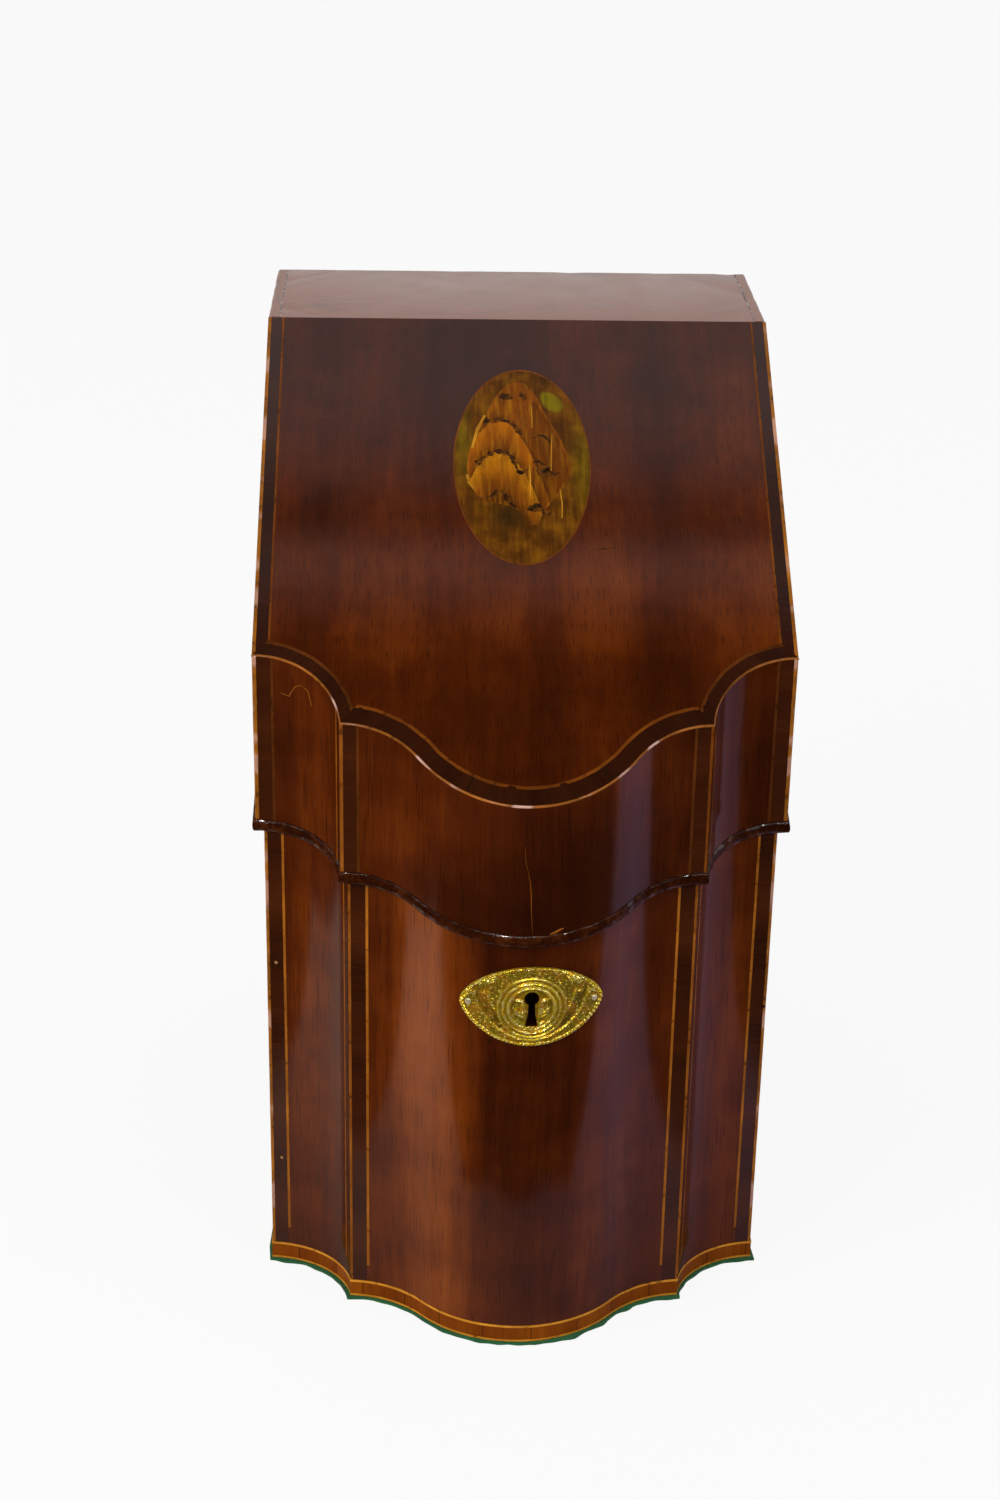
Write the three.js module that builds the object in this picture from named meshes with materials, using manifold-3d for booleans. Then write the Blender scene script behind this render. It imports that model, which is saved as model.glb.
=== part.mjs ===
// Serpentine-front knife box: a veneered carcase with a sloping, hinged lid, a pierced
// cutlery tray inside, a link-plate box lock and a pair of brass butt hinges.
// Millimetres. X runs across the box, +Y towards its back, +Z up from the surface it stands on.
import * as THREE from "three";
import { mergeVertices } from "three/addons/utils/BufferGeometryUtils.js";
import Module from "manifold-3d";

const wasm = await Module();
wasm.setup();

// Outside of the box. Depths are measured forward from the back face.
const lidWidth = 226;
const totalHeight = 399;
const wingDepth = 253;
const arrisDepth = 282.5;
const bowDepth = 317;
const bowHalfWidth = 76;
const topDepth = 89;
const partingHeight = 220.5;
const lidFrontHeight = 80.5;
const partingAngle = THREE.MathUtils.degToRad(18.4);
const lidOverhang = 3.4;

// Curves of the serpentine front
const coveEndAngle = THREE.MathUtils.degToRad(84);
const hollowShare = 0.42;
const coveSteps = 8;
const hollowSteps = 5;
const bowSteps = 7;

// Boards and gaps
const wallThickness = 10;
const lockBedThickness = 26;
const lidBoardThickness = 8;
const baizeThickness = 1.6;
const baizeInset = 1.5;
const glueGap = 0.2;
const lidGap = 0.3;

// Mouldings and inlay
const lidBeadHeight = 4.8;
const lidBeadProud = 1.4;
const lidBeadBed = 3.6;
const bodyBeadHeight = 2.6;
const bodyBeadProud = 0.7;
const bodyBeadBed = 3.4;
const bandHeight = 8.4;
const bandThickness = 1.2;
const stringSize = 1.8;

// Shell oval on the slope: distances along the slope from the edge of the flat top
const ovalWidth = 60;
const ovalLength = 112;
const ovalFromTop = 31;
const ovalThickness = 1.6;

// Cutlery tray: the drop is from the parting plane to its upper face, and a row's place is
// measured from the back face to the middle of its slots
const trayDrop = 14;
const trayThickness = 7;
const trayFit = 0.5;
const knifeSlotWidth = 9;
const knifeSlotLength = 28;
const forkSlotWidth = 12;
const forkSlotLength = 24;
const spoonSlotWidth = 34;
const spoonSlotLength = 13;
const slotChamfer = 1.2;
const slotsPerRow = 6;
const slotPitch = 31;
const spoonSlots = 2;
const spoonPitch = 124;
const firstRow = 33;
const knifeRowPitch = 48;
const forkRowPitch = 45;
const spoonRowGap = 50;
const ledgeWidth = 8;
const ledgeHeight = 12;
const partitionThickness = 6;

// Link-plate box lock let in behind the bow, a little to the right of the middle
const lockOffset = 3;
const lockWidth = 38;
const lockHeight = 46;
const lockDepth = 11.5;
const lockSheet = 1.3;
const selvageLength = 50;
const selvageWidth = 14;
const selvageThickness = 1.6;
const selvageScrewSpacing = 44;
const linkSpacing = 18;
const linkThickness = 2.4;
const linkWidth = 6.4;
const linkReach = 9;
const linkEye = 3.4;
const linkRim = 1.3;
const linkTenonWidth = 3.6;
const linkFromFront = 3.1;
const linkPlateThickness = 1.4;
const boltThickness = 2.2;
const boltThrow = 4.5;
const fingerLength = 4.6;
const fingerNeck = 2;
const boltPlateHeight = 10;
const talonDepth = 4.5;
const talonWidth = 4.4;
const stumpRadius = 1.5;
const stumpSpacing = 14;
const keyPostRadius = 1.3;
const lockRunning = 0.4;

// Escutcheon and keyhole. The drop is from the body's upper edge at the bow to the
// escutcheon's middle, and the point says how much sharper than an ellipse its ends are.
const escutcheonWidth = 59;
const escutcheonHeight = 37;
const escutcheonThickness = 1.2;
const escutcheonDrop = 30.3;
const escutcheonPoint = 1.26;
const keyholeRadius = 3.1;
const keyholeRise = 3.8;
const keyholeLength = 16.4;
const keyholeFootHalf = 2.8;
const keyholeWaistHalf = 2.4;
const pinFromEnd = 3.6;
const pinRadius = 1.1;
const pinLength = 7;
const pinHead = 0.8;

// Butt hinges, each set in from the lid's side
const hingeLength = 38;
const hingeFromSide = 30;
const hingeLeafWidth = 8;
const hingeLeafThickness = 1.5;
const knuckleRadius = 2.5;
const knuckleCount = 5;
const knuckleGap = 0.3;
const hingePinRadius = 1;
const pinRunning = 0.2;
const hingeStandOff = 0.4;

// Countersunk screws
const screwHeadRadius = 1.9;
const screwShankRadius = 0.9;
const screwLength = 6.5;
const screwHole = 0.25;
const hingeScrewSpacing = 22;

// Values worked out from the sizes above
const halfWidth = lidWidth / 2;
const coveX = (halfWidth - bowHalfWidth) / Math.sin(coveEndAngle);
const coveY = (arrisDepth - wingDepth) / (1 - Math.cos(coveEndAngle));
const bowTurn = 2 * Math.atan((bowDepth - arrisDepth) / bowHalfWidth);
const hollowRadius = (hollowShare * bowHalfWidth) / Math.sin(bowTurn);
const bowRadius = ((1 - hollowShare) * bowHalfWidth) / Math.sin(bowTurn);
const partingRise = Math.tan(partingAngle);
const arrisHeight = partingHeight + lidFrontHeight;
const slopeRise = (totalHeight - arrisHeight) / (wingDepth - topDepth);
const slopeAngle = Math.atan(slopeRise);
const slopeBoardDrop = lidBoardThickness / Math.cos(slopeAngle);
const bodyBottom = baizeThickness + bandHeight;
const lockBedY = -(bowDepth - lidOverhang - lockBedThickness);
const hingeY = knuckleRadius + hingeStandOff;
const overallFront = bowDepth + lidBeadProud;
const overallBack = hingeY + knuckleRadius;
const bodyHalfWidth = halfWidth - lidOverhang;
const wallInset = lidOverhang + wallThickness;

const partingZ = (y) => partingHeight + partingRise * (y + wingDepth);
const slopeZ = (y) => arrisHeight + slopeRise * (y + wingDepth);
const escutcheonCentre = partingZ(-(bowDepth - lidOverhang)) - escutcheonDrop;

const finishes = {
  mahogany: { color: 0x5a2413, roughness: 0.32, metalness: 0 },
  carcase: { color: 0x8a5b34, roughness: 0.7, metalness: 0 },
  moulding: { color: 0x2a0f09, roughness: 0.3, metalness: 0 },
  crossband: { color: 0xa8622c, roughness: 0.4, metalness: 0 },
  boxwood: { color: 0xd9a45c, roughness: 0.4, metalness: 0 },
  shell: { color: 0xb87a3e, roughness: 0.45, metalness: 0 },
  baize: { color: 0x17301f, roughness: 0.95, metalness: 0 },
  brass: { color: 0xc9a257, roughness: 0.35, metalness: 1 },
  iron: { color: 0x4d4a45, roughness: 0.55, metalness: 1 },
};
const materials = Object.fromEntries(
  Object.entries(finishes).map(([name, look]) => [name, new THREE.MeshStandardMaterial(look)]),
);

// A closed geometry as a solid: corners merged, triangles that the merging closed up left out,
// and the faces turned to point out.
function toSolid(geometry) {
  const bare = geometry.clone();
  for (const name of Object.keys(bare.attributes)) {
    if (name !== "position") bare.deleteAttribute(name);
  }
  const merged = mergeVertices(bare, 1e-4);
  const corners = merged.attributes.position;
  const index = merged.index.array;
  const [a, b, c] = [new THREE.Vector3(), new THREE.Vector3(), new THREE.Vector3()];
  const triangles = [];
  let volume = 0;
  for (let i = 0; i < index.length; i += 3) {
    const [first, second, third] = index.slice(i, i + 3);
    if (first === second || second === third || third === first) continue;
    triangles.push([first, second, third]);
    a.fromBufferAttribute(corners, first);
    b.fromBufferAttribute(corners, second);
    c.fromBufferAttribute(corners, third);
    volume += a.dot(b.cross(c));
  }
  if (volume < 0) triangles.forEach((triangle) => triangle.reverse());
  const mesh = new wasm.Mesh({
    numProp: 3,
    vertProperties: new Float32Array(corners.array),
    triVerts: new Uint32Array(triangles.flat()),
  });
  return new wasm.Manifold(mesh);
}

function toGeometry(solid) {
  const mesh = solid.getMesh();
  const geometry = new THREE.BufferGeometry();
  geometry.setAttribute("position", new THREE.BufferAttribute(mesh.vertProperties, 3));
  geometry.setIndex(new THREE.BufferAttribute(mesh.triVerts, 1));
  return geometry;
}

function cut(solid, ...tools) {
  return tools.reduce((rest, tool) => rest.subtract(tool), solid);
}

function block(x0, x1, y0, y1, z0, z1) {
  const box = new THREE.BoxGeometry(x1 - x0, y1 - y0, z1 - z0);
  box.translate((x0 + x1) / 2, (y0 + y1) / 2, (z0 + z1) / 2);
  return toSolid(box);
}

function shapeOf(points, holes = []) {
  const shape = new THREE.Shape(points.map(([a, b]) => new THREE.Vector2(a, b)));
  shape.holes = holes.map((hole) => new THREE.Path(hole.map(([a, b]) => new THREE.Vector2(a, b))));
  return shape;
}

// A plan outline, with any holes, raised from z0 to z1.
function planPrism(points, z0, z1, holes = []) {
  const prism = new THREE.ExtrudeGeometry(shapeOf(points, holes), { depth: z1 - z0, bevelEnabled: false });
  prism.translate(0, 0, z0);
  return toSolid(prism);
}

// A side view, as points of Y and Z, drawn out across the box from x0 to x1.
function sidePrism(points, x0, x1) {
  const prism = new THREE.ExtrudeGeometry(shapeOf(points), { depth: x1 - x0, bevelEnabled: false });
  prism.applyMatrix4(new THREE.Matrix4().set(0, 0, 1, x0, 1, 0, 0, 0, 0, 1, 0, 0, 0, 0, 0, 1));
  return toSolid(prism);
}

// A front view, as points of X and Z, drawn out from y0 back to y1.
function frontPrism(points, y0, y1) {
  const prism = new THREE.ExtrudeGeometry(shapeOf(points), { depth: y1 - y0, bevelEnabled: false });
  prism.applyMatrix4(new THREE.Matrix4().set(1, 0, 0, 0, 0, 0, -1, y1, 0, 1, 0, 0, 0, 0, 0, 1));
  return toSolid(prism);
}

// A point of the wing's cove, moved in from the face by an inset.
function covePoint(angle, inset) {
  const normal = new THREE.Vector2(-coveY * Math.sin(angle), coveX * Math.cos(angle)).normalize();
  return [
    halfWidth - coveX * Math.sin(angle) + normal.x * inset,
    -wingDepth - coveY * (1 - Math.cos(angle)) + normal.y * inset,
  ];
}

// Where a value that falls along the range crosses zero.
function crossing(value, low, high) {
  for (let step = 0; step < 40; step += 1) {
    const middle = (low + high) / 2;
    if (value(middle) > 0) low = middle;
    else high = middle;
  }
  return (low + high) / 2;
}

const spread = (from, to, steps) =>
  Array.from({ length: steps + 1 }, (_, step) => from + ((to - from) * step) / steps);

// Right half of the front at an inset from the lid's face, from the side to the middle of the bow:
// a cove, the arris, a hollow and the bow, tangent to each other but for the mitred arris.
function rightFront(inset) {
  const hollow = hollowRadius + inset;
  const arc = -arrisDepth - hollowRadius;
  let coveStart = 0;
  let coveEnd = coveEndAngle;
  let arris;
  if (inset >= 0) {
    const reach = ([x, y]) => Math.hypot(x - bowHalfWidth, y - arc) - hollow;
    coveStart = crossing((angle) => covePoint(angle, inset)[0] - halfWidth + inset, 0, coveEndAngle);
    coveEnd = crossing((angle) => reach(covePoint(angle, inset)), 0, coveEndAngle);
    arris = covePoint(coveEnd, inset);
  } else {
    const [x, y] = covePoint(coveEndAngle, inset);
    const mitreY = -arrisDepth + inset;
    const lean = (coveX * Math.cos(coveEndAngle)) / (coveY * Math.sin(coveEndAngle));
    arris = [x + (y - mitreY) * -lean, mitreY];
  }
  const hollowStart = Math.asin(Math.max(0, (bowHalfWidth - arris[0]) / hollow));
  const corner = inset >= 0 ? covePoint(coveStart, inset) : [halfWidth - inset, -wingDepth + inset];
  return [
    corner,
    ...spread(coveStart, coveEnd, coveSteps).map((angle) => covePoint(angle, inset)),
    arris,
    inset >= 0 ? arris : [bowHalfWidth, -arrisDepth + inset],
    ...spread(hollowStart, bowTurn, hollowSteps).slice(1).map((angle) => [
      bowHalfWidth - hollow * Math.sin(angle),
      arc + hollow * Math.cos(angle),
    ]),
    ...spread(bowTurn, 0, bowSteps).slice(1).map((angle) => [
      (bowRadius - inset) * Math.sin(angle),
      -bowDepth + bowRadius - (bowRadius - inset) * Math.cos(angle),
    ]),
  ];
}

// The whole front at an inset, from the right side to the left.
function frontLine(inset) {
  const right = rightFront(inset);
  const left = right.slice(0, -1).reverse().map(([x, y]) => [-x, y]);
  return [...right, ...left];
}

// The same line on the inside of the front, left flat across the bow for the lock.
function innerLine(inset, bedY) {
  return frontLine(inset).map(([x, y]) => [x, Math.max(y, bedY)]);
}

// How far back that inside line reaches over a stretch across the box.
function innerRear(inset, bedY, x0, x1) {
  const line = innerLine(inset, bedY);
  const at = (x) => {
    const i = line.findIndex(([px], n) => n > 0 && px <= x);
    const [[ax, ay], [bx, by]] = [line[i - 1], line[i]];
    return ay + ((by - ay) * (x - ax)) / (bx - ax);
  };
  const between = line.filter(([x]) => x > x0 && x < x1).map(([, y]) => y);
  return Math.max(at(x0), at(x1), ...between);
}

// Plan outline that fills the box's shape at an inset, back to a straight rear edge.
function filledPlan(inset, rearY) {
  return dropRepeats([...frontLine(inset), [-(halfWidth - inset), rearY], [halfWidth - inset, rearY]]);
}

function dropRepeats(points) {
  return points.filter(([x, y], i) => {
    const [nextX, nextY] = points[(i + 1) % points.length];
    return Math.hypot(nextX - x, nextY - y) > 1e-3;
  });
}

// Plan outline of a serpentine front board, square at its two ends where the sides meet it.
function frontBoardPlan(inset) {
  const inner = innerLine(inset + wallThickness, lockBedY).reverse();
  const endX = halfWidth - inset;
  const endY = inner[0][1];
  return dropRepeats([...frontLine(inset), [-endX, endY], ...inner, [endX, endY]]);
}

// Moulding of one section run round both sides and the front. The section's points are
// an inset from the lid's face and a height from the parting plane.
function uMoulding(section, height, rearY) {
  const flat = section.map(([inset, rise]) => new THREE.Vector2(inset, rise));
  if (THREE.ShapeUtils.isClockWise(flat)) flat.reverse();
  const lines = flat.map(({ x: inset, y: rise }) => {
    const front = frontLine(inset);
    const run = [[halfWidth - inset, rearY], ...front, [-(halfWidth - inset), rearY]];
    return run.map(([x, y]) => new THREE.Vector3(x, y, height(y) + rise));
  });
  const vertices = [];
  const put = (...corners) => corners.forEach((corner) => vertices.push(corner.x, corner.y, corner.z));
  lines.forEach((line, i) => {
    const next = lines[(i + 1) % lines.length];
    for (let j = 0; j < line.length - 1; j += 1) {
      put(line[j], next[j + 1], next[j]);
      put(line[j], line[j + 1], next[j + 1]);
    }
  });
  for (const [a, b, c] of THREE.ShapeUtils.triangulateShape(flat, [])) {
    put(lines[a][0], lines[b][0], lines[c][0]);
    put(lines[c].at(-1), lines[b].at(-1), lines[a].at(-1));
  }
  const geometry = new THREE.BufferGeometry();
  geometry.setAttribute("position", new THREE.Float32BufferAttribute(vertices, 3));
  return toSolid(geometry);
}

// Section of a bead: a square back let into its bed, and a half-round nose.
function beadSection(faceInset, bed, proud, low, high) {
  const middle = (low + high) / 2;
  const nose = spread(-Math.PI / 2, Math.PI / 2, 6).map((angle) => [
    faceInset - proud * Math.cos(angle),
    middle + ((high - low) / 2) * Math.sin(angle),
  ]);
  return [[faceInset + bed, low], ...nose, [faceInset + bed, high]];
}

function rectangleSection(insetOut, insetIn, low, high) {
  return [[insetIn, low], [insetOut, low], [insetOut, high], [insetIn, high]];
}

const lidBeadLow = lidGap / 2;
const lidBeadTop = lidBeadLow + lidBeadHeight;
const bodyBeadTop = -lidGap / 2;
const bodyBeadLow = bodyBeadTop - bodyBeadHeight;
const clearOfFace = 5;

function lidBead() {
  return uMoulding(beadSection(0, lidBeadBed, lidBeadProud, lidBeadLow, lidBeadTop), partingZ, 0);
}

function lidBeadRebate() {
  const section = rectangleSection(-clearOfFace, lidBeadBed + glueGap, -clearOfFace, lidBeadTop + glueGap);
  return uMoulding(section, partingZ, clearOfFace);
}

function bodyBead() {
  const section = beadSection(lidOverhang, bodyBeadBed, bodyBeadProud, bodyBeadLow, bodyBeadTop);
  return uMoulding(section, partingZ, 0);
}

function bodyBeadRebate() {
  const inner = lidOverhang + bodyBeadBed + glueGap;
  const section = rectangleSection(-clearOfFace, inner, bodyBeadLow - glueGap, clearOfFace);
  return uMoulding(section, partingZ, clearOfFace);
}

// Side view of what lies between two lines, each given as a height at a depth.
function slab(frontY, rearY, low, top) {
  return [[frontY, low(frontY)], [rearY, low(rearY)], [rearY, top(rearY)], [frontY, top(frontY)]];
}

// Side views: what lies under the parting plane, and what lies in the lid under its boards.
function bodySection(frontY, rearY) {
  return slab(frontY, rearY, () => bodyBottom, (y) => partingZ(y) - lidGap / 2);
}

const lidFloorZ = (y) => partingZ(y) + lidGap / 2;
const slopeUnderZ = (y) => slopeZ(y) - slopeBoardDrop - glueGap;
const lidTopUnderZ = totalHeight - lidBoardThickness;
const lidBreakY = (lidTopUnderZ - slopeUnderZ(0)) / slopeRise;

function lidSection(frontY, rearY) {
  const top = [rearY, lidBreakY, frontY].filter((y) => y >= frontY && y <= rearY);
  const topLine = top.map((y) => [y, Math.min(lidTopUnderZ, slopeUnderZ(y))]);
  return [[frontY, lidFloorZ(frontY)], [rearY, lidFloorZ(rearY)], ...topLine];
}

const pastFront = -bowDepth - 2 * clearOfFace;
const wallFrontY = (inset) => innerLine(inset + wallThickness, lockBedY)[0][1];

// Square string let into a front corner, and the groove that it lies in.
function cornerString(side, inset, section) {
  const edge = side * (halfWidth - inset);
  const [x0, x1] = [edge, edge - side * stringSize].sort((a, b) => a - b);
  return sidePrism(section, x0, x1);
}

function cornerGroove(side, inset) {
  const edge = side * (halfWidth - inset);
  const [x0, x1] = [edge + side * clearOfFace, edge - side * (stringSize + glueGap)].sort((a, b) => a - b);
  const frontY = -wingDepth + inset;
  return block(x0, x1, frontY - clearOfFace, frontY + stringSize + glueGap, 0, totalHeight);
}

function bodyCornerString(side) {
  const frontY = -wingDepth + lidOverhang;
  const top = (y) => partingZ(y) + bodyBeadLow - glueGap;
  return cornerString(side, lidOverhang, slab(frontY, frontY + stringSize, () => bodyBottom, top));
}

function lidCornerString(side) {
  const bottom = (y) => partingZ(y) + lidBeadTop + glueGap;
  return cornerString(side, 0, slab(-wingDepth, -wingDepth + stringSize, bottom, slopeUnderZ));
}

// Body
function baseBoard() {
  const inset = lidOverhang + bandThickness + glueGap;
  return planPrism(filledPlan(inset, 0), baizeThickness, bodyBottom);
}

function baizePad() {
  return planPrism(filledPlan(lidOverhang + baizeInset, -baizeInset), 0, baizeThickness);
}

function baseBand() {
  const section = rectangleSection(lidOverhang, lidOverhang + bandThickness, baizeThickness, bodyBottom);
  return uMoulding(section, () => 0, 0);
}

function bodyFront() {
  const board = planPrism(frontBoardPlan(lidOverhang), 0, totalHeight);
  const trimmed = board.intersect(sidePrism(bodySection(pastFront, 0), -lidWidth, lidWidth));
  const keyhole = frontPrism(keyholeOutline(glueGap), pastFront, lockMiddleY);
  const pins = [-1, 1].map((side) => escutcheonPin(side, glueGap));
  const grooves = [-1, 1].map((side) => cornerGroove(side, lidOverhang));
  return cut(trimmed, bodyBeadRebate(), lockPocket(), selvageRecess(), keyhole, ...pins, ...grooves);
}

function bodySide(side) {
  const [x0, x1] = [side * bodyHalfWidth, side * (bodyHalfWidth - wallThickness)].sort((a, b) => a - b);
  const board = sidePrism(bodySection(wallFrontY(lidOverhang), 0), x0, x1);
  return cut(board, bodyBeadRebate());
}

function bodyBack() {
  const half = bodyHalfWidth - wallThickness;
  const board = sidePrism(bodySection(-wallThickness, 0), -half, half);
  return cut(board, ...hingeSides.map((side) => hingeBed(side, -1)));
}

// Lid
function lidFront() {
  const board = planPrism(frontBoardPlan(0), 0, totalHeight);
  const section = slab(pastFront, 0, lidFloorZ, slopeUnderZ);
  const trimmed = board.intersect(sidePrism(section, -lidWidth, lidWidth));
  const grooves = [-1, 1].map((side) => cornerGroove(side, 0));
  return cut(trimmed, lidBeadRebate(), linkPlateBed(), ...grooves);
}

function lidSide(side) {
  const [x0, x1] = [side * halfWidth, side * (halfWidth - wallThickness)].sort((a, b) => a - b);
  return cut(sidePrism(lidSection(wallFrontY(0), 0), x0, x1), lidBeadRebate());
}

function lidBack() {
  const half = halfWidth - wallThickness;
  const board = sidePrism(lidSection(-wallThickness, 0), -half, half);
  return cut(board, ...hingeSides.map((side) => hingeBed(side, 1)));
}

function lidTopBoard() {
  return block(-halfWidth, halfWidth, -topDepth, 0, totalHeight - lidBoardThickness, totalHeight);
}

function slopeBoard() {
  const rearY = -topDepth - glueGap;
  const board = planPrism(filledPlan(0, rearY), 0, totalHeight);
  const section = slab(pastFront, rearY, (y) => slopeZ(y) - slopeBoardDrop, slopeZ);
  const trimmed = board.intersect(sidePrism(section, -lidWidth, lidWidth));
  return cut(trimmed, shellOval(glueGap));
}

// The oval lies flush in the slope, its long axis up the slope.
function shellOval(grow) {
  const [halfAcross, halfUp] = [ovalWidth / 2 + grow, ovalLength / 2 + grow];
  const outline = spread(0, 2 * Math.PI, 40).slice(1).map((angle) => [
    halfAcross * Math.cos(angle),
    halfUp * Math.sin(angle) - ovalFromTop - ovalLength / 2,
  ]);
  const above = grow > 0 ? clearOfFace : 0;
  const oval = planPrism(outline, -ovalThickness - grow, above);
  const place = new THREE.Matrix4().makeRotationX(slopeAngle).setPosition(0, -topDepth, totalHeight);
  return oval.transform([...place.elements]);
}

// Tray
const traySurfaceZ = (y) => partingZ(y) - trayDrop;
const trayInset = wallInset + trayFit;
const trayUnderZ = (y) => traySurfaceZ(y) - trayThickness;

function slotOutline(x, y, width, length) {
  const [a, b, c] = [width / 2, length / 2, slotChamfer];
  const right = [[a - c, -b], [a, c - b], [a, b - c], [a - c, b]];
  const left = right.map(([dx, dy]) => [-dx, dy]).reverse();
  return [...right, ...left].map(([dx, dy]) => [x + dx, y + dy]);
}

function slotRow(distance, count, pitch, width, length) {
  const middles = Array.from({ length: count }, (_, i) => (i - (count - 1) / 2) * pitch);
  return middles.map((x) => slotOutline(x, -distance, width, length));
}

function traySlots() {
  const secondRow = firstRow + knifeRowPitch;
  const thirdRow = secondRow + knifeRowPitch;
  const fourthRow = thirdRow + forkRowPitch;
  const spoonRow = fourthRow + spoonRowGap;
  return [
    ...slotRow(firstRow, slotsPerRow, slotPitch, knifeSlotWidth, knifeSlotLength),
    ...slotRow(secondRow, slotsPerRow, slotPitch, knifeSlotWidth, knifeSlotLength),
    ...slotRow(thirdRow, slotsPerRow, slotPitch, forkSlotWidth, forkSlotLength),
    ...slotRow(fourthRow, slotsPerRow, slotPitch, forkSlotWidth, forkSlotLength),
    ...slotRow(spoonRow, spoonSlots, spoonPitch, spoonSlotWidth, spoonSlotLength),
  ];
}

function cutleryTray() {
  const rearY = -wallThickness - trayFit;
  const halfTray = halfWidth - trayInset;
  const front = innerLine(trayInset, lockBedY + trayFit);
  const outline = dropRepeats([...front, [-halfTray, rearY], [halfTray, rearY]]);
  const board = planPrism(outline, 0, totalHeight, traySlots());
  const section = slab(pastFront, 0, trayUnderZ, traySurfaceZ);
  return board.intersect(sidePrism(section, -lidWidth, lidWidth));
}

// Ledges and partitions that carry the tray
const underTray = (y) => trayUnderZ(y) - lidGap;
const backLedgeY = -wallThickness - glueGap;

function sideLedge(side) {
  const outer = bodyHalfWidth - wallThickness - glueGap;
  const [x0, x1] = [side * outer, side * (outer - ledgeWidth)].sort((a, b) => a - b);
  const frontY = wallFrontY(lidOverhang) + glueGap;
  return sidePrism(slab(frontY, backLedgeY, (y) => underTray(y) - ledgeHeight, underTray), x0, x1);
}

function backLedge() {
  const half = bodyHalfWidth - wallThickness - ledgeWidth - 2 * glueGap;
  const frontY = backLedgeY - ledgeWidth;
  const low = underTray(frontY) - ledgeHeight;
  return sidePrism(slab(frontY, backLedgeY, () => low, underTray), -half, half);
}

// Upright board between two columns of slots, from the front's inside to the back ledge.
function partition(side) {
  const middle = side * slotPitch;
  const [x0, x1] = [middle - partitionThickness / 2, middle + partitionThickness / 2];
  const frontY = innerRear(wallInset, lockBedY, x0, x1) + glueGap;
  const rearY = backLedgeY - ledgeWidth - glueGap;
  return sidePrism(slab(frontY, rearY, () => bodyBottom, underTray), x0, x1);
}

// Keyhole as a front view: a round top over a foot that widens downwards.
function keyholeOutline(grow) {
  const centreZ = escutcheonCentre + keyholeRise;
  const radius = keyholeRadius + grow;
  const waist = Math.asin(keyholeWaistHalf / keyholeRadius);
  const round = spread(-Math.PI / 2 + waist, (3 * Math.PI) / 2 - waist, 12).map((angle) => [
    lockOffset + radius * Math.cos(angle),
    centreZ + radius * Math.sin(angle),
  ]);
  const footZ = centreZ + keyholeRadius - keyholeLength - grow;
  const foot = keyholeFootHalf + grow;
  return [...round, [lockOffset - foot, footZ], [lockOffset + foot, footZ]];
}

// The escutcheon is bent round the bow: a sheet of the bow's curve, trimmed to an almond.
const bodyBowRadius = bowRadius - lidOverhang;
const bowCentreY = -bowDepth + bowRadius;
const bowFaceY = (x) => bowCentreY - Math.sqrt(bodyBowRadius ** 2 - x ** 2);
const pinX = (side) => lockOffset + side * (escutcheonWidth / 2 - pinFromEnd);

function bowArc(radius) {
  return spread(-bowTurn, bowTurn, 2 * bowSteps).map((angle) => [
    radius * Math.sin(angle),
    bowCentreY - radius * Math.cos(angle),
  ]);
}

function escutcheon() {
  const rear = bowArc(bodyBowRadius + glueGap);
  const face = bowArc(bodyBowRadius + glueGap + escutcheonThickness).reverse();
  const sheet = planPrism([...rear, ...face], 0, totalHeight);
  const almond = spread(0, 2 * Math.PI, 40).slice(1).map((angle) => {
    const rise = Math.sign(Math.sin(angle)) * Math.abs(Math.sin(angle)) ** escutcheonPoint;
    const x = lockOffset + (escutcheonWidth / 2) * Math.cos(angle);
    return [x, escutcheonCentre + (escutcheonHeight / 2) * rise];
  });
  const trimmed = sheet.intersect(frontPrism(almond, pastFront, bowCentreY));
  const pinHoles = [-1, 1].map((side) => escutcheonPin(side, glueGap));
  return cut(trimmed, frontPrism(keyholeOutline(0), pastFront, bowCentreY), ...pinHoles);
}

// Round-headed pin, driven straight back at each end of the escutcheon.
function escutcheonPin(side, grow) {
  const x = pinX(side);
  const headY = bowFaceY(x) - glueGap - escutcheonThickness - pinHead;
  const radius = pinRadius + grow;
  const dome = spread(0, Math.PI / 2, 3).map((angle) => [
    radius * Math.sin(angle),
    pinHead * (1 - Math.cos(angle)),
  ]);
  const profile = [...dome, [radius, pinLength + grow], [0, pinLength + grow]];
  return turned(profile, new THREE.Matrix4().setPosition(x, headY, escutcheonCentre));
}

// A profile of radius and distance turned about the Y axis, then placed.
function turned(profile, place, sides = 12) {
  const lathe = new THREE.LatheGeometry(profile.map(([r, y]) => new THREE.Vector2(r, y)), sides);
  lathe.applyMatrix4(place);
  return toSolid(lathe);
}

// Lock. Its working parts that meet the lid lie square to the parting plane.
const lockRearY = lockBedY;
const lockFrontY = lockRearY - lockDepth;
const lockMiddleY = (lockFrontY + lockRearY) / 2;
const linkY = lockFrontY + linkFromFront;
const selvageTop = -lidGap / 2;
const selvageBottom = selvageTop - selvageThickness;
const selvageRear = (lockRearY - linkY) / Math.cos(partingAngle) - glueGap;
const lockTopZ = (y) => partingZ(y) + (selvageBottom + glueGap) / Math.cos(partingAngle);
const lockBottomZ = lockTopZ(lockFrontY) - lockHeight;
const eyeDepth = linkReach - linkRim - linkEye / 2;
const boltY = linkY + eyeDepth * Math.sin(partingAngle);
const fingerZ = partingZ(linkY) - eyeDepth * Math.cos(partingAngle);
const linkFoot = linkReach * Math.cos(partingAngle) + (linkWidth / 2) * Math.sin(partingAngle);
const boltPlateTop = partingZ(linkY) - linkFoot - lockRunning;
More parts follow.
